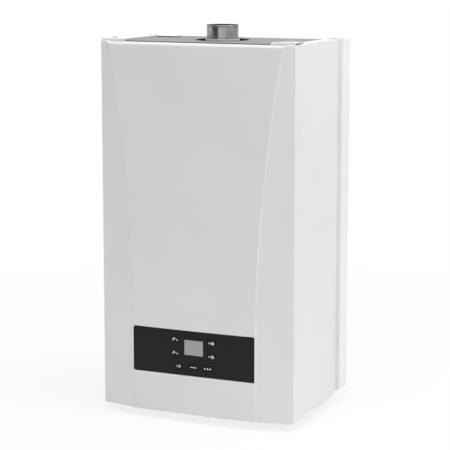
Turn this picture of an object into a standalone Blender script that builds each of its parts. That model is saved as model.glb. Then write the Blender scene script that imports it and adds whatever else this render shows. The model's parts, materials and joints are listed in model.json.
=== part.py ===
"""Wall-hung gas boiler of the sealed-chamber type, built piece by piece.

Metres, +Z up. The wall is the plane Y = 0 and the boiler stands in front of it, towards -Y.
X = 0 is its middle, and Z = 0 is the level of the flat of the rear frame that lies on the wall rail.
"""

import math

import bmesh
import bpy
from mathutils import Matrix, Vector

MM = 0.001

# General
SHEET = 1.0 * MM
GAP = 0.3 * MM
OVERRUN = 2.0 * MM
SMOOTH_ANGLE = math.radians(35)
ROUND_STEPS = 24
SMALL_STEPS = 12

# Casing
CASE_WIDTH = 396 * MM
CASE_HEIGHT = 700 * MM
CASE_DEPTH = 255 * MM
HANG_DROP = 60 * MM

# Rear frame: a shallow tray that hangs on the wall
FRAME_DEPTH = 38 * MM
FRAME_STANDOUT = 8 * MM
FRAME_RAISE = 14 * MM
FRAME_LIP = 16 * MM
FRAME_TOP_DROP = 4 * MM
FRAME_EAR_HEIGHT = 1.5 * MM
FRAME_EAR_REACH = 57 * MM
FRAME_EAR_WIDTHS = (78 * MM, 42 * MM)
FRAME_EAR_SLANT = 20 * MM
HANG_SLOT_SPACING = 270 * MM
HANG_SLOT_WIDTH = 42 * MM
HANG_SLOT_HEIGHT = 14 * MM
HANG_SLOT_RISE = 12 * MM

# Side panels, flanged inwards on all edges
PANEL_FLANGE = 22 * MM
PANEL_RAISE = 3.4 * MM
PANEL_TOP_RISE = 1.0 * MM
PANEL_CORNER_LENGTH = 36 * MM
PANEL_CORNER_RISE = 11 * MM
PANEL_CORNER_BULGE_SHARES = (0.55, 0.32)

# Front cover
COVER_RETURN = 20.8 * MM
COVER_LIP = 12 * MM
FIELD_MARGIN_LOW = 1.4 * MM
FIELD_INSET_TOP = 19.8 * MM
FIELD_PROUD_LOW = 15.6 * MM
FIELD_PROUD_TOP = 9.5 * MM
FIELD_BEND_HEIGHT = 150 * MM
FIELD_BOW = 2.5 * MM
FIELD_STEP = 1.5 * MM
FIELD_STEP_WIDTH = 2.0 * MM
FIELD_DROP = 1.9 * MM
FIELD_EDGE_RADIUS = 5 * MM
FIELD_ROWS = 9
FIELD_EDGE_STEPS = 3
SLOPED_SHEET_SHARE = 1.15

# Hooks that hang the cover on the tongues of the side panels
HOOK_LENGTH = 49 * MM
HOOK_SLANT = 26 * MM
HOOK_FRONT = 2 * MM
HOOK_DEPTH = 36 * MM
HOOK_HEIGHT = 3 * MM
TONGUE_INSET = 17 * MM
TONGUE_SETBACK = 24 * MM
TONGUE_WIDTH = 10 * MM
TONGUE_THICKNESS = 1.5 * MM
TONGUE_RISE = 5.5 * MM
TONGUE_PLAY = 1.8 * MM

# Screws under the cover
SCREW_INSET = 20 * MM
SCREW_SETBACK = 11 * MM
SCREW_RADIUS = 1.75 * MM
SCREW_HEAD_RADIUS = 4.5 * MM
SCREW_HEAD_HEIGHT = 2.5 * MM
SCREW_PLAY = 0.4 * MM
SCREW_END = 4 * MM

# Front rail of the chassis, with the fork slots of the screws and the hinge ears of the control box
RAIL_SHEET = 1.5 * MM
RAIL_CLEARANCE = 1.5 * MM
RAIL_FRONT = 5 * MM
RAIL_BACK = 47 * MM
RAIL_WEB = 32 * MM
RAIL_EAR_THICKNESS = 2 * MM
RAIL_EAR_RADIUS = 6 * MM
RAIL_EAR_FOOT = 24 * MM
RAIL_EAR_PLAY = 1.5 * MM

# Control box, tilting forwards on two pins
CONTROL_INSET = 58 * MM
CONTROL_BOTTOM = 62 * MM
CONTROL_HEIGHT = 108 * MM
CONTROL_DEPTH = 75 * MM
CONTROL_WALL = 2.5 * MM
CONTROL_PIN_SETBACK = 12 * MM
CONTROL_PIN_HEIGHT = 7 * MM
CONTROL_PIN_RADIUS = 2.2 * MM
CONTROL_PIN_LENGTH = 5 * MM
CONTROL_LID = 2 * MM
STANDOFF_RADIUS = 3 * MM
STANDOFF_INSET = 14 * MM
BOARD_SETBACK = 48 * MM
BOARD_THICKNESS = 1.6 * MM
BOARD_MARGIN = 9 * MM
BOARD_BLOCK_HEIGHT = 22 * MM
BOARD_BLOCK_SHARES = ((-0.42, -0.28, -0.30, 0.30), (-0.10, 0.14, -0.34, 0.02), (0.24, 0.42, -0.10, 0.36))

# Fascia, display and keys
FASCIA_INSET = 16 * MM
FASCIA_HEIGHT = 84 * MM
FASCIA_BOTTOM = 74.5 * MM
FASCIA_PROUD = 14 * MM
FASCIA_THICKNESS = 4.2 * MM
FASCIA_CORNER = 3 * MM
FASCIA_PLAY = 0.6 * MM
DISPLAY_WIDTH = 39 * MM
DISPLAY_HEIGHT = 29.2 * MM
DISPLAY_BOTTOM = 114 * MM
DISPLAY_RECESS = 0.6 * MM
KEYPAD_WIDTH = 112 * MM
KEYPAD_HEIGHT = 74 * MM
KEY_TRAVEL = 1.0 * MM
KEY_PROUD = 0.8 * MM
KEY_CORNER = 3.5 * MM
KEY_SLANT = 5 * MM
KEY_STEM_RADIUS = 2.0 * MM
KEY_SIDE_SIZE = (17 * MM, 13 * MM)
KEY_SIDE_X = 37.4 * MM
KEY_UPPER_Z = 141.5 * MM
KEY_LOWER_Z = 115.5 * MM
KEY_ROW_SIZE = (20 * MM, 12 * MM)
KEY_ROW_SPACING = 29.6 * MM
KEY_ROW_Z = 91.5 * MM

# Top plate and flue
TOP_FLANGE = 12 * MM
FLUE_SETBACK = 117 * MM
FLUE_RADIUS = 30 * MM
FLUE_WALL = 1.0 * MM
FLUE_RISE = 29 * MM
FLUE_BEAD = 0.8 * MM
FLUE_BEAD_HEIGHT = 4 * MM
AIR_HOLE_RADIUS = 50 * MM
SEAL_WIDTH = 4.2 * MM
SEAL_HEIGHT = 9 * MM
SEAL_RISE = 2.5 * MM

# Sealed air chamber
CHAMBER_SIDE_GAP = 16 * MM
CHAMBER_FRONT = 52 * MM
CHAMBER_BACK = 203 * MM
CHAMBER_LIP = 10 * MM
CHAMBER_TOP_GAP = 1.0 * MM
CHAMBER_WING_HEIGHT = 60 * MM
SIGHT_RADIUS = 14 * MM
SIGHT_HOLE_RADIUS = 11 * MM
SIGHT_THICKNESS = 3 * MM
SIGHT_RISE_SHARE = 0.7

# Combustion stack, from the flue down
STACK_INSET = 93 * MM
STACK_FRONT = 82 * MM
STACK_BACK = 188 * MM
FAN_HEIGHT = 108 * MM
HOOD_HEIGHT = 55 * MM
EXCHANGER_HEIGHT = 62 * MM
BOX_FREE_SHARE = 0.5
OTHER_HEIGHTS = 456 * MM
BOX_WALL = 12 * MM
BURNER_HEIGHT = 45 * MM
BURNER_BASE = 5 * MM
BURNER_BLADES = 11
BURNER_BLADE = 4 * MM
BURNER_END = 6 * MM
BURNER_BLADE_DROP = 8 * MM
FIN_COUNT = 13
FIN_SLOT_SHARE = 0.8
FIN_FRAME = 4 * MM
TUBE_RADIUS = 9 * MM
TUBE_BEND = 22 * MM
BEND_REACH = 13 * MM
BEND_RADIUS = 6.5 * MM
PORT_REACH = 12 * MM
PORT_SETBACK = 20 * MM
HOOD_MOUTH_WIDTH = 76 * MM
HOOD_MOUTH_DEPTH = 84 * MM
HOOD_RIM = 8 * MM

# Fan
FAN_RADIUS = 46 * MM
FAN_DEPTH = 42 * MM
FAN_WALL = 3 * MM
FAN_FOOT = 3 * MM
FAN_EYE_RADIUS = 22 * MM
FAN_BORE_RADIUS = 15 * MM
FAN_COLLAR = 6 * MM
SUCTION_WIDTH = 68 * MM
SUCTION_DEPTH = 28 * MM
SUCTION_HEIGHT = 84 * MM
FAN_MOTOR_RADIUS = 27 * MM
FAN_MOTOR_LENGTH = 26 * MM
FAN_PLATE = 2.5 * MM
SHAFT_RADIUS = 3 * MM
IMPELLER_RADIUS = 37 * MM
IMPELLER_WIDTH = 26 * MM
IMPELLER_HUB_RADIUS = 10 * MM
IMPELLER_BLADES = 14
IMPELLER_DISC = 2 * MM
BLADE_SHARE = 0.30

# Pressure switch of the fan and the two electrodes
SWITCH_RADIUS = 26 * MM
SWITCH_THICKNESS = 18 * MM
SWITCH_DROP = 55 * MM
SPIGOT_RADIUS = 2.5 * MM
SPIGOT_LENGTH = 12 * MM
ELECTRODE_SPACING = 84 * MM
ELECTRODE_RADIUS = 3.5 * MM
ELECTRODE_FLANGE = 7 * MM
ELECTRODE_HEAD = 16 * MM
ELECTRODE_TIP = 22 * MM
ELECTRODE_TIP_RADIUS = 1.0 * MM
ELECTRODE_RAISE = 9 * MM

# Gas line
NOZZLE_RAIL = 12 * MM
NOZZLE_RADIUS = 3 * MM
NOZZLE_LENGTH = 8 * MM
GAS_TUBE_RADIUS = 8 * MM
GAS_INLET_RADIUS = 9 * MM
GAS_VALVE_WIDTH = 58 * MM
GAS_VALVE_DEPTH = 42 * MM
GAS_VALVE_HEIGHT = 62 * MM
GAS_VALVE_BOTTOM = 104 * MM
COIL_RADIUS = 13 * MM
COIL_LENGTH = 30 * MM
GAS_TURN = 32 * MM

# Connections through the bottom plate
PLATE_SHEET = 1.5 * MM
PLATE_FRONT = 112 * MM
PLATE_FLANGE = 18 * MM
PORT_INSET = 68 * MM
PORT_ROW = 180 * MM
PORT_DROP = 15 * MM
PORT_PLAY = 1.0 * MM
WIDE_PORT_RADIUS = 11 * MM
SLIM_PORT_RADIUS = 9 * MM
PORT_BORE_WALL = 2.5 * MM
PORT_BORE_DEPTH = 30 * MM

# Hydraulic blocks
BLOCK_DEPTH = 40 * MM
BLOCK_HEIGHT = 48 * MM
BLOCK_END_INNER = 15 * MM
BLOCK_END_OUTER = 16 * MM
BLOCK_EDGE = 5 * MM
PUMP_INSET = 34 * MM
PUMP_RADIUS = 42 * MM
PUMP_DEPTH = 32 * MM
PUMP_BOSS_RADIUS = 12 * MM
PUMP_BOSS_LENGTH = 8 * MM
PUMP_CAVITY_RADIUS = 30 * MM
PUMP_CAVITY_DEPTH = 18 * MM
PUMP_MOTOR_RADIUS = 37 * MM
PUMP_MOTOR_LENGTH = 62 * MM
PUMP_FLANGE = 6 * MM
PUMP_WHEEL_RADIUS = 26 * MM
PUMP_WHEEL_WIDTH = 11 * MM
PUMP_SHAFT_LENGTH = 16 * MM
PUMP_BOX_WIDTH = 44 * MM
PUMP_BOX_HEIGHT = 26 * MM
PUMP_BOX_LENGTH = 40 * MM
VENT_OFFSET = 30 * MM
VENT_RADIUS = 10 * MM
VENT_HEIGHT = 44 * MM
VENT_CAP_RADIUS = 5 * MM
VENT_CAP_HEIGHT = 8 * MM
DIVERTER_INSET = 28 * MM
DIVERTER_COLLAR_RADIUS = 13 * MM
DIVERTER_COLLAR_HEIGHT = 20 * MM
DIVERTER_MOTOR_RADIUS = 21 * MM
DIVERTER_MOTOR_HEIGHT = 52 * MM
STEM_RADIUS = 2.6 * MM
STEM_DISC_RADIUS = 5 * MM
STEM_DISC_HEIGHT = 4 * MM
STEM_TRAVEL = 6 * MM
STEM_PLAY = 0.4 * MM
STEM_TOP = 14 * MM
FLOW_PORT_SHARE = 0.23
HX_INSET = 103 * MM
HX_HEIGHT = 71 * MM
HX_DEPTH = 32 * MM
HX_PLATES = 10
HX_GROOVE = 1.6 * MM
SAFETY_INSET = 28 * MM
SAFETY_BODY_RADIUS = 10 * MM
SAFETY_BODY_LENGTH = 16 * MM
KNOB_RADIUS = 13 * MM
KNOB_LENGTH = 14 * MM
KNOB_LOBES = 8
KNOB_LOBE_SHARE = 0.88
SPINDLE_RADIUS = 3 * MM
SPINDLE_LENGTH = 8 * MM
TAP_SPACING_SHARE = 1.5
TAP_NECK_RADIUS = 8 * MM
TAP_NECK_DROP = 12 * MM
TAP_KNOB_RADIUS = 12 * MM
TAP_KNOB_LENGTH = 12 * MM

# Pipes up to the heat exchanger
RISER_OFFSET = 41 * MM
RISER_TURN = 26 * MM
RISER_HOLE_PLAY = 2 * MM

# Expansion vessel behind the chamber
VESSEL_INSET = 34 * MM
VESSEL_WALL = 1.5 * MM
VESSEL_VALVE_RADIUS = 4 * MM
VESSEL_THICKNESS = 44 * MM
VESSEL_EDGE = 14 * MM
VESSEL_DROP = 200 * MM
VESSEL_TUBE_RADIUS = 4 * MM
VESSEL_TUBE_INSET = 30 * MM
VESSEL_TUBE_TURN = 60 * MM
VESSEL_TUBE_BEND = 18 * MM

# Cable gland
GLAND_INSET = 40 * MM
GLAND_RADIUS = 6 * MM
GLAND_BORE = 3.6 * MM
GLAND_FLANGE = 9 * MM
GLAND_LENGTH = 12 * MM

# Finishes: colour, roughness, metallic
WHITE_PAINT = ((0.80, 0.80, 0.80), 0.35, 0.0)
GREY_PAINT = ((0.48, 0.48, 0.48), 0.45, 0.0)
ZINC = ((0.58, 0.60, 0.62), 0.40, 1.0)
STEEL = ((0.56, 0.55, 0.54), 0.28, 1.0)
COPPER = ((0.80, 0.42, 0.26), 0.30, 1.0)
BRASS = ((0.72, 0.56, 0.28), 0.35, 1.0)
ALUMINIUM = ((0.70, 0.71, 0.72), 0.38, 1.0)
CAST_IRON = ((0.16, 0.16, 0.17), 0.55, 0.6)
BLACK_PLASTIC = ((0.020, 0.020, 0.021), 0.35, 0.0)
DARK_PLASTIC = ((0.045, 0.045, 0.048), 0.50, 0.0)
GREY_PLASTIC = ((0.35, 0.36, 0.37), 0.50, 0.0)
RED_PAINT = ((0.45, 0.03, 0.02), 0.40, 0.0)
RED_PLASTIC = ((0.55, 0.04, 0.03), 0.45, 0.0)
SILICONE = ((0.70, 0.69, 0.66), 0.60, 0.0)
CERAMIC = ((0.85, 0.83, 0.78), 0.40, 0.0)
INSULATION = ((0.76, 0.74, 0.68), 0.85, 0.0)
BOARD_GREEN = ((0.03, 0.18, 0.07), 0.45, 0.0)
LCD_GLASS = ((0.36, 0.39, 0.38), 0.15, 0.0)
CLEAR_GLASS = ((0.55, 0.62, 0.62), 0.10, 0.0)

# Derived places: half sizes and levels that several pieces share
HALF_WIDTH = CASE_WIDTH / 2
FRONT_Y = -CASE_DEPTH
TOP_Z = HANG_DROP
BASE_Z = TOP_Z - CASE_HEIGHT
INNER_HALF = HALF_WIDTH - SHEET
CONTROL_HALF = HALF_WIDTH - CONTROL_INSET
FASCIA_HALF = CONTROL_HALF - FASCIA_INSET
FIELD_HALF_LOW = FASCIA_HALF + FIELD_MARGIN_LOW
FIELD_HALF_TOP = HALF_WIDTH - FIELD_INSET_TOP
SCREW_X = CONTROL_HALF - SCREW_INSET
COVER_BACK = FRONT_Y + COVER_RETURN
FRAME_FRONT = -FRAME_DEPTH
FRAME_HALF = HALF_WIDTH + FRAME_STANDOUT
FRAME_BOTTOM = BASE_Z + FRAME_RAISE
FRAME_EAR_TOP = TOP_Z + PANEL_TOP_RISE + GAP + FRAME_EAR_HEIGHT
PANEL_FRONT = COVER_BACK + GAP
PANEL_BACK = FRAME_FRONT - GAP
PANEL_TOP = TOP_Z + PANEL_TOP_RISE
PANEL_BOTTOM = BASE_Z + PANEL_RAISE
TOP_PLATE_TOP = PANEL_TOP - SHEET - GAP
CHAMBER_TOP = TOP_PLATE_TOP - SHEET - CHAMBER_TOP_GAP
CHAMBER_HALF = INNER_HALF - CHAMBER_SIDE_GAP
CHAMBER_FRONT_Y = FRONT_Y + CHAMBER_FRONT
CHAMBER_BACK_Y = FRONT_Y + CHAMBER_BACK
FLUE_Y = FRONT_Y + FLUE_SETBACK
FAN_TOP = CHAMBER_TOP - SHEET
FAN_BOTTOM = FAN_TOP - FAN_HEIGHT
HOOD_TOP = FAN_BOTTOM - GAP
HOOD_BOTTOM = HOOD_TOP - HOOD_HEIGHT
EXCHANGER_TOP = HOOD_BOTTOM - GAP
EXCHANGER_BOTTOM = EXCHANGER_TOP - EXCHANGER_HEIGHT
BOX_TOP = EXCHANGER_BOTTOM - GAP
BOX_HEIGHT = (CASE_HEIGHT - OTHER_HEIGHTS) * BOX_FREE_SHARE
BOX_BOTTOM = BOX_TOP - BOX_HEIGHT
BURNER_TOP = BOX_BOTTOM - GAP
BURNER_BOTTOM = BURNER_TOP - BURNER_HEIGHT
CHAMBER_FLOOR = BURNER_BOTTOM - GAP
CHAMBER_BOTTOM = CHAMBER_FLOOR - SHEET
STACK_HALF = HALF_WIDTH - STACK_INSET
RISER_X = STACK_HALF + RISER_OFFSET
STACK_FRONT_Y = FRONT_Y + STACK_FRONT
STACK_BACK_Y = FRONT_Y + STACK_BACK
FAN_FRONT_Y = FLUE_Y - FAN_DEPTH / 2
FAN_BACK_Y = FLUE_Y + FAN_DEPTH / 2
FAN_AXIS_Z = FAN_BOTTOM + FAN_FOOT + FAN_WALL + FAN_RADIUS
TUBE_Z = EXCHANGER_BOTTOM + EXCHANGER_HEIGHT / 2
TUBE_Y = STACK_BACK_Y - PORT_SETBACK
PLATE_BOTTOM = FRAME_BOTTOM + FRAME_LIP + GAP
PLATE_TOP = PLATE_BOTTOM + PLATE_SHEET
PLATE_FRONT_Y = FRONT_Y + PLATE_FRONT
PLATE_BACK_Y = -SHEET - GAP
PORT_Y = FRONT_Y + PORT_ROW
PORT_END = BASE_Z - PORT_DROP
PORT_SPACING = (HALF_WIDTH - PORT_INSET) / 2
TAP_X = PORT_SPACING * TAP_SPACING_SHARE
GLAND_X = HALF_WIDTH - GLAND_INSET
BLOCK_INNER = PORT_SPACING - BLOCK_END_INNER
BLOCK_OUTER = 2 * PORT_SPACING + BLOCK_END_OUTER
BLOCK_BOTTOM = PLATE_TOP + GAP
BLOCK_TOP = BLOCK_BOTTOM + BLOCK_HEIGHT
BLOCK_FRONT_Y = PORT_Y - BLOCK_DEPTH / 2
BLOCK_BACK_Y = PORT_Y + BLOCK_DEPTH / 2
FLOW_PORT_X = BLOCK_INNER + (BLOCK_OUTER - BLOCK_INNER) * FLOW_PORT_SHARE
DIVERTER_X = BLOCK_OUTER - DIVERTER_INSET
SAFETY_X = BLOCK_INNER + SAFETY_INSET
HX_HALF = HALF_WIDTH - HX_INSET
VESSEL_RADIUS = HALF_WIDTH - VESSEL_INSET
VESSEL_TUBE_X = HALF_WIDTH - VESSEL_TUBE_INSET
PUMP_X = BLOCK_OUTER - PUMP_INSET
PUMP_AXIS_Z = BLOCK_TOP + GAP + PUMP_BOSS_LENGTH + PUMP_RADIUS
PUMP_FRONT_Y = PORT_Y - PUMP_DEPTH / 2
PUMP_BACK_Y = PORT_Y + PUMP_DEPTH / 2
PUMP_OUTLET_Z = PUMP_AXIS_Z + PUMP_RADIUS + PUMP_BOSS_LENGTH
HOOK_FRONT_Y = FRONT_Y + HOOK_FRONT
HOOK_BACK_Y = HOOK_FRONT_Y + HOOK_DEPTH
HOOK_FOOT_Z = PANEL_TOP + GAP
HOOK_TOP = HOOK_FOOT_Z + HOOK_HEIGHT
TONGUE_Y = FRONT_Y + TONGUE_SETBACK
RAIL_BOTTOM = BASE_Z + COVER_LIP + RAIL_CLEARANCE
RAIL_TOP = RAIL_BOTTOM + RAIL_SHEET
RAIL_FRONT_Y = FRONT_Y + RAIL_FRONT
RAIL_BACK_Y = FRONT_Y + RAIL_BACK
SCREW_Y = FRONT_Y + SCREW_SETBACK
FASCIA_FRONT_Y = FRONT_Y - FASCIA_PROUD
FASCIA_BACK_Y = FASCIA_FRONT_Y + FASCIA_THICKNESS
CONTROL_FRONT_Y = FASCIA_BACK_Y + GAP
CONTROL_BACK_Y = CONTROL_FRONT_Y + CONTROL_DEPTH
CONTROL_LOW_Z = BASE_Z + CONTROL_BOTTOM
CONTROL_HIGH_Z = CONTROL_LOW_Z + CONTROL_HEIGHT
CONTROL_PIN_Y = CONTROL_FRONT_Y + CONTROL_PIN_SETBACK
CONTROL_PIN_Z = CONTROL_LOW_Z + CONTROL_PIN_HEIGHT
KEY_FRONT_Y = FASCIA_FRONT_Y - KEY_PROUD
KEY_BACK_Y = FASCIA_BACK_Y - KEY_TRAVEL - GAP
KEYPAD_FRONT_Y = CONTROL_FRONT_Y + CONTROL_WALL + 2 * KEY_TRAVEL + GAP
KEYPAD_BACK_Y = KEYPAD_FRONT_Y + BOARD_THICKNESS


def clear_scene():
    """Remove whatever the scene holds."""
    for thing in list(bpy.data.objects):
        bpy.data.objects.remove(thing, do_unlink=True)


def along(axis, first, second, third):
    """Point with third along the axis, and first and second along the other two, in X, Y, Z order."""
    if axis == "X":
        return Vector((third, first, second))
    if axis == "Y":
        return Vector((first, third, second))
    return Vector((first, second, third))


def loft(shape, loops, ring=False):
    """Bridge loops of equally many points into one skin, with end caps or closed into a ring."""
    rows = [[shape.verts.new(point) for point in loop] for loop in loops]
    pairs = list(zip(rows, rows[1:]))
    if ring:
        pairs.append((rows[-1], rows[0]))
    count = len(rows[0])
    for first, second in pairs:
        for i in range(count):
            j = (i + 1) % count
            shape.faces.new((first[i], first[j], second[j], second[i]))
    if not ring:
        shape.faces.new(list(reversed(rows[0])))
        shape.faces.new(rows[-1])
    return shape


def prism(outline, axis, low, high):
    """Solid with a flat outline, standing from low to high along the axis."""
    loops = [[along(axis, u, v, level) for u, v in outline] for level in (low, high)]
    return loft(bmesh.new(), loops)


def block(low, high):
    """Box between two corners."""
    outline = [(low[0], low[1]), (high[0], low[1]), (high[0], high[1]), (low[0], high[1])]
    return prism(outline, "Z", low[2], high[2])


def circle(radius, centre, steps, ends=None):
    """Points of a circle about a flat centre; ends gives the start and end angle of an arc."""
    start, end = ends if ends else (0.0, 2 * math.pi)
    count = steps if not ends else steps + 1
    turns = [start + (end - start) * i / steps for i in range(count)]
    return [(centre[0] + radius * math.cos(t), centre[1] + radius * math.sin(t)) for t in turns]


def turned(profile, axis, centre, steps=ROUND_STEPS, ring=False):
    """Turned piece: profile is (radius, level) pairs; a ring's profile closes on itself."""
    loops = []
    for radius, level in profile:
        loops.append([along(axis, u, v, level) for u, v in circle(radius, centre, steps)])
    return loft(bmesh.new(), loops, ring)


def inset(outline, distance):
    """Convex outline, counter-clockwise, with every edge moved inwards by a distance."""
    moved = []
    count = len(outline)
    for i in range(count):
        before, here, after = (Vector(outline[(i + k) % count]) for k in (-1, 0, 1))
        first = (here - before).normalized()
        second = (after - here).normalized()
        inward = Vector((-first.y, first.x)) + Vector((-second.y, second.x))
        moved.append(tuple(here + inward * distance / (1 + first.dot(second))))
    return moved


def rounded(half_width, half_height, radius, centre=(0.0, 0.0), steps=4):
    """Rectangle with rounded corners, counter-clockwise."""
    points = []
    for turn, (side, rise) in enumerate(((1, 1), (-1, 1), (-1, -1), (1, -1))):
        middle = (centre[0] + side * (half_width - radius), centre[1] + rise * (half_height - radius))
        ends = (turn * math.pi / 2, (turn + 1) * math.pi / 2)
        points += circle(radius, middle, steps, ends)
    return points


def lobed(radius, centre, lobes):
    """Outline of a hand knob with shallow lobes."""
    points = []
    for i in range(2 * lobes):
        reach = radius if i % 2 == 0 else radius * KNOB_LOBE_SHARE
        turn = math.pi * i / lobes
        points.append((centre[0] + reach * math.cos(turn), centre[1] + reach * math.sin(turn)))
    return points


def smooth_route(corners, radius, steps=5):
    """Route through corners, each inner corner replaced by an arc of the bend radius."""
    corners = [Vector(corner) for corner in corners]
    route = [corners[0]]
    for before, here, after in zip(corners, corners[1:], corners[2:]):
        back = (before - here).normalized()
        ahead = (after - here).normalized()
        half = back.angle(ahead) / 2
        bisector = (back + ahead).normalized()
        middle = here + bisector * radius / math.sin(half)
        start = here + back * radius / math.tan(half) - middle
        end = here + ahead * radius / math.tan(half) - middle
        for i in range(steps + 1):
            route.append(middle + start.slerp(end, i / steps).normalized() * radius)
    route.append(corners[-1])
    return route


def tube(route, radius, sides=SMALL_STEPS, bore=0.0):
    """Round tube along a route, with a bore right through where bore is its radius."""
    steps = [(after - before).normalized() for before, after in zip(route, route[1:])]
    tangents = [steps[0]] + [(a + b).normalized() for a, b in zip(steps, steps[1:])] + [steps[-1]]
    across = tangents[0].orthogonal().normalized()
    frames = []
    for tangent in tangents:
        across = (across - tangent * across.dot(tangent)).normalized()
        frames.append((across.copy(), tangent.cross(across)))
    flat = circle(1.0, (0.0, 0.0), sides)

    def ring_at(size, i):
        first, second = frames[i]
        return [route[i] + (first * u + second * v) * size for u, v in flat]

    loops = [ring_at(radius, i) for i in range(len(route))]
    if bore:
        loops += [ring_at(bore, i) for i in reversed(range(len(route)))]
    return loft(bmesh.new(), loops, ring=bool(bore))


def joined(*shapes):
    """One mesh that holds several shapes that lie apart, for use as a cutter."""
    whole = shapes[0]
    for shape in shapes[1:]:
        holder = bpy.data.meshes.new("holder")
        shape.to_mesh(holder)
        whole.from_mesh(holder)
        bpy.data.meshes.remove(holder)
        shape.free()
    return whole


def link(name, shape):
    """Object with the mesh of a shape, faces turned outwards."""
    bmesh.ops.recalc_face_normals(shape, faces=shape.faces)
    mesh = bpy.data.meshes.new(name)
    shape.to_mesh(mesh)
    shape.free()
    thing = bpy.data.objects.new(name, mesh)
    bpy.context.scene.collection.objects.link(thing)
    return thing


def add_part(name, finish, shape, origin=(0.0, 0.0, 0.0), carrier=None):
    """Named piece with its own material; its origin is a point of its joint's axis where it moves."""
    part = link(name, shape)
    part.data.transform(Matrix.Translation(-Vector(origin)))
    part.location = Vector(origin)
    if carrier:
        part.parent = carrier
        part.location -= carrier.location
    colour, roughness, metallic = finish
    material = bpy.data.materials.new(name + "_finish")
    material.use_nodes = True
    shader = material.node_tree.nodes["Principled BSDF"]
    shader.inputs["Base Color"].default_value = (*colour, 1.0)
    shader.inputs["Roughness"].default_value = roughness
    shader.inputs["Metallic"].default_value = metallic
    part.data.materials.append(material)
    part.data.shade_smooth()
    part.data.set_sharp_from_angle(angle=SMOOTH_ANGLE)
    return part


def shape_with(part, operation, shape):
    """Cut a shape from a part, or join it on, with a Boolean modifier and a hidden guide."""
    guide = link(f"{part.name}_guide_{len(part.modifiers)}", shape)
    guide.hide_render = True
    guide.display_type = "WIRE"
    modifier = part.modifiers.new(operation.lower(), "BOOLEAN")
    modifier.operation = operation
    modifier.solver = "EXACT"
    modifier.object = guide


def cut(part, shape):
    """Cut a shape from a part."""
    shape_with(part, "DIFFERENCE", shape)


def join(part, shape):
    """Join an overlapping shape to a part."""
    shape_with(part, "UNION", shape)


def add_pivot(name, place):
    """Empty on a joint's axis, which carries the pieces that move with it."""
    pivot = bpy.data.objects.new(name, None)
    pivot.location = place
    bpy.context.scene.collection.objects.link(pivot)
    return pivot


def build_rear_frame():
    """Tray with inward lips, hanging slots and two ears bent forwards over the top."""
    outline = [(-FRAME_HALF, FRAME_BOTTOM), (FRAME_HALF, FRAME_BOTTOM),
               (FRAME_HALF, FRAME_EAR_TOP), (-FRAME_HALF, FRAME_EAR_TOP)]
    lip = inset(outline, FRAME_LIP)
    inner = inset(outline, SHEET)
    steps = ((outline, 0.0), (outline, FRAME_FRONT), (lip, FRAME_FRONT),
             (lip, FRAME_FRONT + SHEET), (inner, FRAME_FRONT + SHEET), (inner, -SHEET))
    loops = [[along("Y", u, v, level) for u, v in line] for line, level in steps]
    frame = add_part("rear_frame", WHITE_PAINT, loft(bmesh.new(), loops))
    left_width, right_width = FRAME_EAR_WIDTHS
    crown = TOP_Z - FRAME_TOP_DROP
    cut(frame, block((-HALF_WIDTH + left_width, FRAME_FRONT - OVERRUN, crown),
                     (HALF_WIDTH - right_width, OVERRUN, FRAME_EAR_TOP + OVERRUN)))
    join(frame, block((-HALF_WIDTH + left_width - SHEET, FRAME_FRONT + SHEET / 2, crown - SHEET),
                      (HALF_WIDTH - right_width + SHEET, -SHEET / 2, crown - SHEET / 4)))
    for side, width in ((-1, left_width), (1, right_width)):
        inner_edge = side * (HALF_WIDTH - width)
        outer_edge = side * INNER_HALF
        front = FRAME_FRONT - FRAME_EAR_REACH
        ear = [(inner_edge - side * FRAME_EAR_SLANT, front), (outer_edge, front),
               (outer_edge, FRAME_FRONT + OVERRUN), (inner_edge, FRAME_FRONT + OVERRUN)]
        join(frame, prism(ear, "Z", FRAME_EAR_TOP - FRAME_EAR_HEIGHT, FRAME_EAR_TOP - FRAME_EAR_HEIGHT / 3))
    slots = []
    for side in (-1, 1):
        middle = (side * HANG_SLOT_SPACING / 2, HANG_SLOT_RISE)
        line = rounded(HANG_SLOT_WIDTH / 2, HANG_SLOT_HEIGHT / 2, HANG_SLOT_HEIGHT / 3, middle)
        slots.append(prism(line, "Y", -SHEET - OVERRUN, OVERRUN))
    cut(frame, joined(*slots))


def panel_outline():
    """Side panel's outline in Y and Z, its lower rear corner drawn in."""
    along_share, rise_share = PANEL_CORNER_BULGE_SHARES
    corner_y = PANEL_BACK - PANEL_CORNER_LENGTH
    return [(PANEL_FRONT, PANEL_BOTTOM), (corner_y, PANEL_BOTTOM),
            (corner_y + PANEL_CORNER_LENGTH * along_share, PANEL_BOTTOM + PANEL_CORNER_RISE * rise_share),
            (PANEL_BACK, PANEL_BOTTOM + PANEL_CORNER_RISE), (PANEL_BACK, PANEL_TOP), (PANEL_FRONT, PANEL_TOP)]


def build_side_panels():
    """Two flanged side panels, each with the tongue that the cover's hook drops over."""
    outline = panel_outline()
    inner = inset(outline, SHEET)
    for name, side in (("side_panel_left", -1), ("side_panel_right", 1)):
        flange_x = side * (HALF_WIDTH - PANEL_FLANGE)
        steps = ((outline, side * HALF_WIDTH), (outline, flange_x), (inner, flange_x),
                 (inner, side * INNER_HALF))
        loops = [[along("X", u, v, level) for u, v in line] for line, level in steps]
        panel = add_part(name, WHITE_PAINT, loft(bmesh.new(), loops))
        tongue_x = side * (HALF_WIDTH - TONGUE_INSET)
        join(panel, block((tongue_x - TONGUE_WIDTH / 2, TONGUE_Y - TONGUE_THICKNESS / 2,
                           PANEL_TOP - SHEET / 2),
                          (tongue_x + TONGUE_WIDTH / 2, TONGUE_Y + TONGUE_THICKNESS / 2,
                           PANEL_TOP + TONGUE_RISE)))


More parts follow.
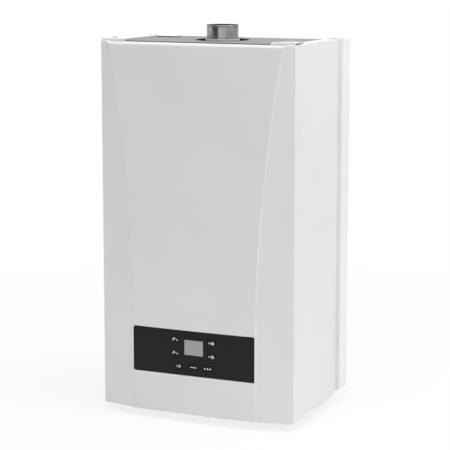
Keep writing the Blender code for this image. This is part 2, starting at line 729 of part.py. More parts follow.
def build_top_plate():
    """Grey top sheet between the side panels, with down-turned edges and the round air hole."""
    half = INNER_HALF - GAP
    low = TOP_PLATE_TOP - TOP_FLANGE
    outline = [(-half, low), (-half + SHEET, low), (-half + SHEET, TOP_PLATE_TOP - SHEET),
               (half - SHEET, TOP_PLATE_TOP - SHEET), (half - SHEET, low), (half, low),
               (half, TOP_PLATE_TOP), (-half, TOP_PLATE_TOP)]
    plate = add_part("top_plate", GREY_PAINT,
                     prism(outline, "Y", PANEL_FRONT + SHEET + GAP, PANEL_BACK - SHEET - GAP))
    cut(plate, turned([(AIR_HOLE_RADIUS, TOP_PLATE_TOP - SHEET - OVERRUN),
                       (AIR_HOLE_RADIUS, TOP_PLATE_TOP + OVERRUN)],
                      "Z", (0.0, FLUE_Y)))


def field_half(height):
    """Half width of the raised field at a height above the bottom: a parabola above its bend."""
    rise = max(0.0, (height - FIELD_BEND_HEIGHT) / (CASE_HEIGHT - FIELD_BEND_HEIGHT))
    return FIELD_HALF_LOW + (FIELD_HALF_TOP - FIELD_HALF_LOW) * rise ** 2


def field_proud(height):
    """How far the raised field's edge stands in front of the casing's corners at a height."""
    rise = max(0.0, (height - FIELD_BEND_HEIGHT) / (CASE_HEIGHT - FIELD_BEND_HEIGHT))
    return FIELD_PROUD_LOW + (FIELD_PROUD_TOP - FIELD_PROUD_LOW) * rise ** 2


def cover_row(height, strip_height, set_back):
    """One row of the cover's face, left to right: strip, step, bowed field, step, strip."""
    edge = field_half(height)
    proud = field_proud(height)
    bend = edge + FIELD_STEP_WIDTH
    right = [(0.0, proud + FIELD_BOW - set_back, height),
             (edge / 2, proud + FIELD_BOW * 3 / 4 - set_back, height),
             (edge, proud - set_back, height),
             (bend, proud - FIELD_STEP, strip_height),
             (HALF_WIDTH, 0.0, strip_height)]
    row = [(-x, y, z) for x, y, z in reversed(right[1:])] + right
    return [Vector((x, FRONT_Y - y, BASE_Z + z)) for x, y, z in row]


def cover_face():
    """Rows of the cover's outer face from the bottom edge to the rounded top edge."""
    straight_top = CASE_HEIGHT - FIELD_DROP - FIELD_EDGE_RADIUS
    heights = [0.0] + [FIELD_BEND_HEIGHT + (straight_top - FIELD_BEND_HEIGHT) * i / FIELD_ROWS
                       for i in range(FIELD_ROWS + 1)]
    rows = [cover_row(height, height, 0.0) for height in heights]
    for i in range(1, FIELD_EDGE_STEPS + 1):
        turn = math.pi / 2 * i / FIELD_EDGE_STEPS
        height = straight_top + FIELD_EDGE_RADIUS * math.sin(turn)
        strip_height = straight_top + (CASE_HEIGHT - straight_top) * i / FIELD_EDGE_STEPS
        rows.append(cover_row(height, strip_height, FIELD_EDGE_RADIUS * (1 - math.cos(turn))))
    return rows


def drawn_in(point, distance, level=None):
    """Point of the cover moved towards the middle by a distance, scaled in X and Z, at a depth."""
    middle = BASE_Z + CASE_HEIGHT / 2
    across = (HALF_WIDTH - distance) / HALF_WIDTH
    upright = (CASE_HEIGHT / 2 - distance) / (CASE_HEIGHT / 2)
    depth = point.y if level is None else level
    return Vector((point.x * across, depth, middle + (point.z - middle) * upright))


def edge_loop(rows):
    """The points round the edge of a grid, in order."""
    right = [row[-1] for row in rows[1:-1]]
    left = [row[0] for row in reversed(rows[1:-1])]
    return rows[0] + right + list(reversed(rows[-1])) + left


def build_front_cover(pivot):
    """Pressed cover: raised bowed field between two side strips, returns, lip, fascia opening."""
    shape = bmesh.new()
    face = cover_face()
    lining = [[drawn_in(point, SHEET) + Vector((0.0, SHEET * SLOPED_SHEET_SHARE, 0.0)) for point in row]
              for row in face]
    outer = [[shape.verts.new(point) for point in row] for row in face]
    inner = [[shape.verts.new(point) for point in row] for row in lining]
    for grid in (outer, inner):
        for low, high in zip(grid, grid[1:]):
            for i in range(len(low) - 1):
                shape.faces.new((low[i], low[i + 1], high[i + 1], high[i]))
    edge = edge_loop(face)
    lip_front = COVER_BACK - SHEET
    steps = ((0.0, COVER_BACK), (COVER_LIP, COVER_BACK), (COVER_LIP, lip_front), (SHEET, lip_front))
    loops = [edge_loop(outer)]
    loops += [[shape.verts.new(drawn_in(point, distance, level)) for point in edge]
              for distance, level in steps]
    loops.append(edge_loop(inner))
    for first, second in zip(loops, loops[1:]):
        for i in range(len(first)):
            j = (i + 1) % len(first)
            shape.faces.new((first[i], first[j], second[j], second[i]))
    cover = add_part("front_cover", WHITE_PAINT, shape, pivot.location, pivot)
    middle = (0.0, BASE_Z + FASCIA_BOTTOM + FASCIA_HEIGHT / 2)
    opening = rounded(FASCIA_HALF + FASCIA_PLAY, FASCIA_HEIGHT / 2 + FASCIA_PLAY,
                      FASCIA_CORNER + FASCIA_PLAY, middle)
    deepest = FRONT_Y - FIELD_PROUD_LOW - FIELD_BOW - OVERRUN
    cut(cover, prism(opening, "Y", deepest, FRONT_Y - FASCIA_PROUD + FASCIA_THICKNESS))
    holes = [turned([(SCREW_RADIUS + SCREW_PLAY, BASE_Z - OVERRUN),
                     (SCREW_RADIUS + SCREW_PLAY, BASE_Z + SHEET + OVERRUN)],
                    "Z", (side * SCREW_X, SCREW_Y), SMALL_STEPS) for side in (-1, 1)]
    cut(cover, joined(*holes))


def build_cover_hooks(pivot):
    """Two bridge-shaped ears on the cover's top corners, slotted for the tongues."""
    outline = [(HOOK_FRONT_Y, TOP_Z + GAP), (HOOK_FRONT_Y + SHEET, TOP_Z + GAP),
               (HOOK_FRONT_Y + SHEET, HOOK_TOP - SHEET), (HOOK_BACK_Y - SHEET, HOOK_TOP - SHEET),
               (HOOK_BACK_Y - SHEET, HOOK_FOOT_Z), (HOOK_BACK_Y, HOOK_FOOT_Z),
               (HOOK_BACK_Y, HOOK_TOP), (HOOK_FRONT_Y, HOOK_TOP)]
    for name, side in (("cover_hook_left", -1), ("cover_hook_right", 1)):
        inner_x = side * (HALF_WIDTH - HOOK_LENGTH)
        shape = prism(outline, "X", inner_x, side * (HALF_WIDTH - GAP))
        for vert in shape.verts:
            if abs(vert.co.x - inner_x) < SHEET / 2:
                vert.co.x += side * HOOK_SLANT * (vert.co.y - HOOK_FRONT_Y) / HOOK_DEPTH
        hook = add_part(name, WHITE_PAINT, shape, pivot.location, pivot)
        slot_x = side * (HALF_WIDTH - TONGUE_INSET)
        cut(hook, block((slot_x - TONGUE_WIDTH / 2 - TONGUE_PLAY,
                         TONGUE_Y - TONGUE_THICKNESS / 2 - TONGUE_PLAY,
                         HOOK_TOP - SHEET - OVERRUN / 2),
                        (slot_x + TONGUE_WIDTH / 2 + TONGUE_PLAY,
                         TONGUE_Y + TONGUE_THICKNESS / 2 + TONGUE_PLAY,
                         HOOK_TOP + OVERRUN)))


def build_cover_screws(pivot):
    """Two upright screws under the cover, whose shanks reach into the rail's open forks."""
    head_top = BASE_Z - GAP
    profile = [(SCREW_HEAD_RADIUS * 2 / 3, head_top - SCREW_HEAD_HEIGHT),
               (SCREW_HEAD_RADIUS, head_top - SCREW_HEAD_HEIGHT * 2 / 3),
               (SCREW_HEAD_RADIUS, head_top), (SCREW_RADIUS, head_top), (SCREW_RADIUS, RAIL_TOP + SCREW_END)]
    for name, side in (("cover_screw_left", -1), ("cover_screw_right", 1)):
        place = (side * SCREW_X, SCREW_Y)
        add_part(name, ZINC, turned(profile, "Z", place, SMALL_STEPS), pivot.location, pivot)


def build_front_rail():
    """Chassis rail with a shelf over the cover's lip, a web, fork slots and two hinge ears."""
    wide = INNER_HALF - GAP
    slim = HALF_WIDTH - PANEL_FLANGE - GAP
    turn_y = PANEL_FRONT + SHEET + GAP
    shelf = [(-slim, RAIL_FRONT_Y), (slim, RAIL_FRONT_Y), (slim, turn_y), (wide, turn_y),
             (wide, RAIL_BACK_Y), (-wide, RAIL_BACK_Y), (-wide, turn_y), (-slim, turn_y)]
    rail = add_part("front_rail", ZINC, prism(shelf, "Z", RAIL_BOTTOM, RAIL_TOP))
    join(rail, block((-wide + SHEET, RAIL_BACK_Y - RAIL_SHEET, RAIL_TOP - RAIL_SHEET / 2),
                     (wide - SHEET, RAIL_BACK_Y - RAIL_SHEET / 4, RAIL_BOTTOM + RAIL_WEB)))
    foot_front = RAIL_FRONT_Y + RAIL_SHEET
    ear = [(foot_front, RAIL_TOP - RAIL_SHEET / 2), (foot_front + RAIL_EAR_FOOT, RAIL_TOP - RAIL_SHEET / 2)]
    ear += circle(RAIL_EAR_RADIUS, (CONTROL_PIN_Y, CONTROL_PIN_Z), SMALL_STEPS // 2, (0.0, math.pi))
    for side in (-1, 1):
        near = side * (CONTROL_HALF + RAIL_EAR_PLAY)
        far = near + side * RAIL_EAR_THICKNESS
        join(rail, prism(ear, "X", near, far))
    bore = CONTROL_PIN_RADIUS + GAP
    cut(rail, joined(*[turned([(bore, side * CONTROL_HALF),
                               (bore, side * (CONTROL_HALF + RAIL_EAR_PLAY + RAIL_EAR_THICKNESS + OVERRUN))],
                              "X", (CONTROL_PIN_Y, CONTROL_PIN_Z), SMALL_STEPS) for side in (-1, 1)]))
    reach = SCREW_RADIUS + SCREW_PLAY
    cut(rail, joined(*[block((side * SCREW_X - reach, RAIL_FRONT_Y - OVERRUN,
                              RAIL_BOTTOM - OVERRUN / 2),
                             (side * SCREW_X + reach, SCREW_Y + reach, RAIL_TOP + OVERRUN / 2))
                       for side in (-1, 1)]))


def keypad_keys():
    """Name, centre, size and slanted corner of each key: a corner is (side, rise)."""
    keys = []
    for column, side in (("left", -1), ("right", 1)):
        for level, height in (("upper", KEY_UPPER_Z), ("lower", KEY_LOWER_Z)):
            keys.append((f"key_{level}_{column}", (side * KEY_SIDE_X, BASE_Z + height), KEY_SIDE_SIZE,
                         (1, 1 if side < 0 else -1)))
    for name, step, corner in (("key_row_left", -1, (1, 1)), ("key_row_middle", 0, (1, -1)),
                               ("key_row_right", 1, (1, -1))):
        keys.append((name, (step * KEY_ROW_SPACING, BASE_Z + KEY_ROW_Z), KEY_ROW_SIZE, corner))
    return keys


def key_outline(centre, size, corner, growth=0.0):
    """Key's outline: a rectangle with one corner slanted and the others nipped."""
    half_width, half_height = size[0] / 2 + growth, size[1] / 2 + growth
    points = []
    for side, rise in ((1, 1), (-1, 1), (-1, -1), (1, -1)):
        nip = KEY_SLANT if (side, rise) == corner else KEY_CORNER / 2
        flat = (centre[0] + side * (half_width - nip), centre[1] + rise * half_height)
        upright = (centre[0] + side * half_width, centre[1] + rise * (half_height - nip))
        points += [upright, flat] if side * rise > 0 else [flat, upright]
    return points


def build_control_box(pivot):
    """Black tub open at the back, with hinge pins, a display window and holes for the key stems."""
    low = (-CONTROL_HALF, CONTROL_FRONT_Y, CONTROL_LOW_Z)
    high = (CONTROL_HALF, CONTROL_BACK_Y, CONTROL_HIGH_Z)
    tub = add_part("control_box", DARK_PLASTIC, block(low, high), pivot.location, pivot)
    cut(tub, block((low[0] + CONTROL_WALL, low[1] + CONTROL_WALL, low[2] + CONTROL_WALL),
                   (high[0] - CONTROL_WALL, high[1] + OVERRUN, high[2] - CONTROL_WALL)))
    for side in (-1, 1):
        join(tub, turned([(CONTROL_PIN_RADIUS, side * (CONTROL_HALF - CONTROL_WALL / 2)),
                          (CONTROL_PIN_RADIUS, side * (CONTROL_HALF + CONTROL_PIN_LENGTH))],
                         "X", (CONTROL_PIN_Y, CONTROL_PIN_Z), SMALL_STEPS))
    ends = (CONTROL_FRONT_Y - OVERRUN, CONTROL_FRONT_Y + CONTROL_WALL + OVERRUN)
    centre_z = BASE_Z + DISPLAY_BOTTOM + DISPLAY_HEIGHT / 2
    tools = [prism(rounded(DISPLAY_WIDTH / 2 + GAP, DISPLAY_HEIGHT / 2 + GAP, GAP, (0.0, centre_z), 1), "Y",
                   *ends)]
    for _, centre, _, _ in keypad_keys():
        tools.append(turned([(KEY_STEM_RADIUS + GAP, ends[0]), (KEY_STEM_RADIUS + GAP, ends[1])], "Y",
                            centre, SMALL_STEPS))
    cut(tub, joined(*tools))


def build_control_lid(pivot):
    """Rear lid of the control box with the four posts that carry the main board."""
    near = CONTROL_BACK_Y + GAP
    lid = add_part("control_rear_lid", DARK_PLASTIC,
                   block((-CONTROL_HALF, near, CONTROL_LOW_Z),
                         (CONTROL_HALF, near + CONTROL_LID, CONTROL_HIGH_Z)),
                   pivot.location, pivot)
    front = CONTROL_FRONT_Y + BOARD_SETBACK + BOARD_THICKNESS + GAP
    for side in (-1, 1):
        for height in (CONTROL_LOW_Z + STANDOFF_INSET, CONTROL_HIGH_Z - STANDOFF_INSET):
            centre = (side * (CONTROL_HALF - STANDOFF_INSET), height)
            join(lid, turned([(STANDOFF_RADIUS, front), (STANDOFF_RADIUS, near + CONTROL_LID / 2)], "Y",
                             centre, SMALL_STEPS // 2))


def build_circuit_board(pivot):
    """Main board with its transformer, relays and terminal block as low blocks."""
    half = CONTROL_HALF - BOARD_MARGIN
    low, high = CONTROL_LOW_Z + BOARD_MARGIN, CONTROL_HIGH_Z - BOARD_MARGIN
    front = CONTROL_FRONT_Y + BOARD_SETBACK
    board = add_part("circuit_board", BOARD_GREEN, block((-half, front, low),
                                                         (half, front + BOARD_THICKNESS, high)),
                     pivot.location, pivot)
    middle, width, height = (low + high) / 2, 2 * half, high - low
    for left_share, right_share, low_share, high_share in BOARD_BLOCK_SHARES:
        join(board, block((width * left_share, front - BOARD_BLOCK_HEIGHT, middle + height * low_share),
                          (width * right_share, front + BOARD_THICKNESS / 2, middle + height * high_share)))


def build_fascia(pivot):
    """Black front plate that fills the cover's opening, pierced for the display and the keys."""
    middle = (0.0, BASE_Z + FASCIA_BOTTOM + FASCIA_HEIGHT / 2)
    outline = rounded(FASCIA_HALF, FASCIA_HEIGHT / 2, FASCIA_CORNER, middle)
    fascia = add_part("control_fascia", BLACK_PLASTIC, prism(outline, "Y", FASCIA_FRONT_Y, FASCIA_BACK_Y),
                      pivot.location, pivot)
    ends = (FASCIA_FRONT_Y - OVERRUN, FASCIA_BACK_Y + OVERRUN)
    centre_z = BASE_Z + DISPLAY_BOTTOM + DISPLAY_HEIGHT / 2
    tools = [prism(rounded(DISPLAY_WIDTH / 2 + GAP, DISPLAY_HEIGHT / 2 + GAP, GAP, (0.0, centre_z), 1), "Y",
                   *ends)]
    tools += [prism(key_outline(centre, size, corner, GAP), "Y", *ends)
              for _, centre, size, corner in keypad_keys()]
    cut(fascia, joined(*tools))


def build_display(pivot):
    """Display glass standing forward from the keypad board that the key stems press on."""
    middle = BASE_Z + (KEY_ROW_Z + KEY_UPPER_Z) / 2
    display = add_part("display_module", LCD_GLASS,
                       block((-KEYPAD_WIDTH / 2, KEYPAD_FRONT_Y, middle - KEYPAD_HEIGHT / 2),
                             (KEYPAD_WIDTH / 2, KEYPAD_BACK_Y, middle + KEYPAD_HEIGHT / 2)), pivot.location,
                             pivot)
    low = BASE_Z + DISPLAY_BOTTOM
    join(display, block((-DISPLAY_WIDTH / 2, FASCIA_FRONT_Y + DISPLAY_RECESS, low),
                        (DISPLAY_WIDTH / 2, KEYPAD_FRONT_Y + BOARD_THICKNESS / 2, low + DISPLAY_HEIGHT)))
    for side in (-1, 1):
        edge = side * KEYPAD_WIDTH / 2
        join(display, block((edge - side * STANDOFF_RADIUS - STANDOFF_RADIUS,
                             CONTROL_FRONT_Y + CONTROL_WALL + GAP, middle - STANDOFF_RADIUS),
                            (edge - side * STANDOFF_RADIUS + STANDOFF_RADIUS / 2,
                             KEYPAD_FRONT_Y + BOARD_THICKNESS / 2, middle + STANDOFF_RADIUS)))


def build_keys(pivot):
    """Seven keys, each a cap with a stem through the wall of the tub."""
    stem_end = CONTROL_FRONT_Y + CONTROL_WALL + KEY_TRAVEL
    for name, centre, size, corner in keypad_keys():
        origin = along("Y", centre[0], centre[1], KEY_FRONT_Y)
        key = add_part(name, BLACK_PLASTIC, prism(key_outline(centre, size, corner), "Y", KEY_FRONT_Y,
                                                  KEY_BACK_Y), origin, pivot)
        join(key, turned([(KEY_STEM_RADIUS, KEY_BACK_Y - KEY_TRAVEL / 2), (KEY_STEM_RADIUS, stem_end)], "Y",
                         centre, SMALL_STEPS))


def build_flue():
    """Steel flue outlet with a beaded rim, and the silicone seal round its foot."""
    bottom = FAN_TOP + GAP
    top = TOP_PLATE_TOP + FLUE_RISE
    bead_low = top - FLUE_BEAD_HEIGHT
    outer = [(FLUE_RADIUS, bottom), (FLUE_RADIUS, bead_low),
             (FLUE_RADIUS + FLUE_BEAD, bead_low + FLUE_BEAD_HEIGHT / 3),
             (FLUE_RADIUS + FLUE_BEAD, top - FLUE_BEAD_HEIGHT / 4), (FLUE_RADIUS, top)]
    inner = [(FLUE_RADIUS - FLUE_WALL, top), (FLUE_RADIUS - FLUE_WALL, bottom)]
    add_part("flue_outlet", STEEL, turned(outer + inner, "Z", (0.0, FLUE_Y), ring=True))
    low = TOP_PLATE_TOP + SEAL_RISE - SEAL_HEIGHT
    near, far = FLUE_RADIUS + GAP, FLUE_RADIUS + SEAL_WIDTH
    profile = [(near, low), (far, low), (far, low + SEAL_HEIGHT * 2 / 3),
               (near + SEAL_WIDTH / 3, low + SEAL_HEIGHT), (near, low + SEAL_HEIGHT)]
    add_part("flue_seal", SILICONE, turned(profile, "Z", (0.0, FLUE_Y), ring=True))


def riser_holes():
    """Places where pipes pass through the chamber's floor: X, Y and radius."""
    return ((-RISER_X, TUBE_Y, TUBE_RADIUS), (RISER_X, TUBE_Y, TUBE_RADIUS),
            (0.0, gas_riser_y(), GAS_TUBE_RADIUS))


def gas_riser_y():
    """Depth at which the gas pipe rises to the nozzle rail."""
    return STACK_FRONT_Y - GAP - NOZZLE_LENGTH - NOZZLE_RAIL / 2


def build_air_chamber():
    """Sheet tub open at the front, with fixing wings to the side panels and holes for pipes and flue."""
    outline = [(-CHAMBER_HALF, CHAMBER_BOTTOM), (CHAMBER_HALF, CHAMBER_BOTTOM),
               (CHAMBER_HALF, CHAMBER_TOP), (-CHAMBER_HALF, CHAMBER_TOP)]
    lip = inset(outline, CHAMBER_LIP)
    inner = inset(outline, SHEET)
    steps = ((outline, CHAMBER_BACK_Y), (outline, CHAMBER_FRONT_Y), (lip, CHAMBER_FRONT_Y),
             (lip, CHAMBER_FRONT_Y + SHEET), (inner, CHAMBER_FRONT_Y + SHEET),
             (inner, CHAMBER_BACK_Y - SHEET))
    loops = [[along("Y", u, v, level) for u, v in line] for line, level in steps]
    tub = add_part("air_chamber", ZINC, loft(bmesh.new(), loops))
    for height in (CHAMBER_BOTTOM, CHAMBER_TOP - CHAMBER_WING_HEIGHT):
        for side in (-1, 1):
            ends = sorted((side * (CHAMBER_HALF - SHEET / 2), side * (INNER_HALF - GAP)))
            join(tub, block((ends[0], CHAMBER_BACK_Y - SHEET, height + SHEET),
                            (ends[1], CHAMBER_BACK_Y - SHEET / 4,
                             height + CHAMBER_WING_HEIGHT - SHEET - TOP_FLANGE)))
    holes = [turned([(radius + RISER_HOLE_PLAY, CHAMBER_BOTTOM - OVERRUN),
                     (radius + RISER_HOLE_PLAY, CHAMBER_FLOOR + OVERRUN)],
                    "Z", (x, y), SMALL_STEPS) for x, y, radius in riser_holes()]
    holes.append(turned([(AIR_HOLE_RADIUS, CHAMBER_TOP - SHEET - OVERRUN / 2),
                         (AIR_HOLE_RADIUS, CHAMBER_TOP + OVERRUN)],
                        "Z", (0.0, FLUE_Y)))
    cut(tub, joined(*holes))


def build_chamber_cover():
    """Front sheet of the sealed chamber with its sight glass."""
    back = CHAMBER_FRONT_Y - GAP
    front = back - SHEET
    outline = [(-CHAMBER_HALF, CHAMBER_BOTTOM), (CHAMBER_HALF, CHAMBER_BOTTOM),
               (CHAMBER_HALF, CHAMBER_TOP), (-CHAMBER_HALF, CHAMBER_TOP)]
    sheet = add_part("chamber_cover", ZINC, prism(outline, "Y", front, back))
    place = (0.0, BOX_BOTTOM + BOX_HEIGHT * SIGHT_RISE_SHARE)
    cut(sheet, turned([(SIGHT_HOLE_RADIUS, front - OVERRUN), (SIGHT_HOLE_RADIUS, back + OVERRUN)], "Y",
                      place, SMALL_STEPS))
    near = front - GAP - SIGHT_THICKNESS
    add_part("sight_glass", CLEAR_GLASS, turned([(SIGHT_RADIUS * 5 / 6, near),
                                                 (SIGHT_RADIUS, near + SIGHT_THICKNESS / 3),
                                                 (SIGHT_RADIUS, front - GAP)], "Y", place))


def build_burner():
    """Burner tray with upright blades, and the nozzle rail in front of it."""
    half = STACK_HALF
    base = BURNER_BOTTOM + BURNER_BASE
    blade_top = BURNER_TOP - BURNER_BLADE_DROP
    span = 2 * (half - BURNER_END)
    pitch = span / BURNER_BLADES
    outline = [(-half, BURNER_BOTTOM), (half, BURNER_BOTTOM), (half, BURNER_TOP),
               (half - BURNER_END, BURNER_TOP),
               (half - BURNER_END, base)]
    for i in reversed(range(BURNER_BLADES)):
        middle = -span / 2 + pitch * (i + 0.5)
        outline += [(middle + BURNER_BLADE / 2, base), (middle + BURNER_BLADE / 2, blade_top),
                    (middle - BURNER_BLADE / 2, blade_top), (middle - BURNER_BLADE / 2, base)]
    outline += [(-half + BURNER_END, base), (-half + BURNER_END, BURNER_TOP), (-half, BURNER_TOP)]
    add_part("burner", STEEL, prism(outline, "Y", STACK_FRONT_Y, STACK_BACK_Y))
    rail_back = STACK_FRONT_Y - GAP - NOZZLE_LENGTH
    rail_z = BURNER_BOTTOM + BURNER_BASE + NOZZLE_RAIL / 2
    rail = add_part("gas_manifold", ALUMINIUM,
                    block((-half + BURNER_END, rail_back - NOZZLE_RAIL, rail_z - NOZZLE_RAIL / 2),
                          (half - BURNER_END, rail_back, rail_z + NOZZLE_RAIL / 2)))
    nozzles = []
    for i in range(BURNER_BLADES):
        middle = -span / 2 + pitch * (i + 0.5)
        nozzles.append(turned([(NOZZLE_RADIUS, rail_back - NOZZLE_RAIL / 4),
                               (NOZZLE_RADIUS, rail_back + NOZZLE_LENGTH * 2 / 3),
                               (NOZZLE_RADIUS / 2, rail_back + NOZZLE_LENGTH)],
                              "Y", (middle, rail_z), SMALL_STEPS // 2))
    join(rail, joined(*nozzles))


def build_combustion_box():
    """Insulated box open above and below, with holes for the two electrodes."""
    outline = [(-STACK_HALF, STACK_FRONT_Y), (STACK_HALF, STACK_FRONT_Y), (STACK_HALF, STACK_BACK_Y),
               (-STACK_HALF, STACK_BACK_Y)]
    inner = inset(outline, BOX_WALL)
    steps = ((outline, BOX_BOTTOM), (outline, BOX_TOP), (inner, BOX_TOP), (inner, BOX_BOTTOM))
    loops = [[along("Z", u, v, level) for u, v in line] for line, level in steps]
    box = add_part("combustion_box", INSULATION, loft(bmesh.new(), loops, ring=True))
    level = BOX_BOTTOM + ELECTRODE_RAISE
    bore = ELECTRODE_RADIUS + GAP
    cut(box, joined(*[turned([(bore, STACK_FRONT_Y - OVERRUN), (bore, STACK_FRONT_Y + BOX_WALL + OVERRUN)],
                             "Y", (side * ELECTRODE_SPACING / 2, level), SMALL_STEPS) for side in (-1, 1)]))
    tip = STACK_FRONT_Y + BOX_WALL + ELECTRODE_TIP / 2
    seat = STACK_FRONT_Y - GAP
    profile = [(ELECTRODE_RADIUS, seat - ELECTRODE_HEAD), (ELECTRODE_RADIUS, seat - ELECTRODE_HEAD / 5),
               (ELECTRODE_FLANGE, seat - ELECTRODE_HEAD / 5), (ELECTRODE_FLANGE, seat),
               (ELECTRODE_RADIUS, seat),
               (ELECTRODE_RADIUS, tip), (ELECTRODE_TIP_RADIUS, tip),
               (ELECTRODE_TIP_RADIUS, tip + ELECTRODE_TIP)]
    for name, side in (("ignition_electrode", -1), ("flame_electrode", 1)):
        add_part(name, CERAMIC, turned(profile, "Y", (side * ELECTRODE_SPACING / 2, level), SMALL_STEPS))


def build_heat_exchanger():
    """Finned copper block with return bends at both ends and two water ports at the back."""
    low, high = EXCHANGER_BOTTOM, EXCHANGER_TOP
    core = add_part("heat_exchanger", COPPER, block((-STACK_HALF, STACK_FRONT_Y, low),
                                                    (STACK_HALF, STACK_BACK_Y, high)))
    span = 2 * (STACK_HALF - FIN_FRAME)
    pitch = span / FIN_COUNT
    slots = []
    for i in range(FIN_COUNT):
        middle = -span / 2 + pitch * (i + 0.5)
        reach = pitch * FIN_SLOT_SHARE / 2
        slots.append(block((middle - reach, STACK_FRONT_Y + FIN_FRAME, low - OVERRUN),
                           (middle + reach, STACK_BACK_Y - FIN_FRAME, high + OVERRUN)))
    cut(core, joined(*slots))
    room = STACK_BACK_Y - STACK_FRONT_Y - PORT_SETBACK - TUBE_RADIUS
    for side in (-1, 1):
        ports = []
        first = STACK_FRONT_Y + room / 4
        second = STACK_FRONT_Y + room * 3 / 4
        start_x = side * (STACK_HALF - OVERRUN)
        far_x = side * (STACK_HALF + BEND_REACH)
        route = smooth_route([(start_x, first, TUBE_Z), (far_x, first, TUBE_Z), (far_x, second, TUBE_Z),
                              (start_x, second, TUBE_Z)], BEND_RADIUS * 1.5, 3)
        ports.append(tube(route, BEND_RADIUS, SMALL_STEPS * 2 // 3))
        ports.append(turned([(TUBE_RADIUS, start_x), (TUBE_RADIUS, side * (STACK_HALF + PORT_REACH))],
                            "X", (TUBE_Y, TUBE_Z), SMALL_STEPS))
        join(core, joined(*ports))


def build_flue_hood():
    """Hollow hood that gathers the flue gas from the exchanger to the fan's foot."""
    mouth_front = FLUE_Y - HOOD_MOUTH_DEPTH / 3
    mouth_back = mouth_front + HOOD_MOUTH_DEPTH
    base = [(-STACK_HALF, STACK_FRONT_Y), (STACK_HALF, STACK_FRONT_Y), (STACK_HALF, STACK_BACK_Y),
            (-STACK_HALF, STACK_BACK_Y)]
    mouth = [(-HOOD_MOUTH_WIDTH / 2, mouth_front), (HOOD_MOUTH_WIDTH / 2, mouth_front),
             (HOOD_MOUTH_WIDTH / 2, mouth_back), (-HOOD_MOUTH_WIDTH / 2, mouth_back)]
    wall = 2 * SHEET
    steps = ((base, HOOD_BOTTOM), (base, HOOD_BOTTOM + HOOD_RIM), (mouth, HOOD_TOP - HOOD_RIM),
             (mouth, HOOD_TOP),
             (inset(mouth, wall), HOOD_TOP), (inset(mouth, wall), HOOD_TOP - HOOD_RIM),
             (inset(base, wall), HOOD_BOTTOM + HOOD_RIM), (inset(base, wall), HOOD_BOTTOM))
    loops = [[along("Z", u, v, level) for u, v in line] for line, level in steps]
    add_part("flue_hood", ALUMINIUM, loft(bmesh.new(), loops, ring=True))


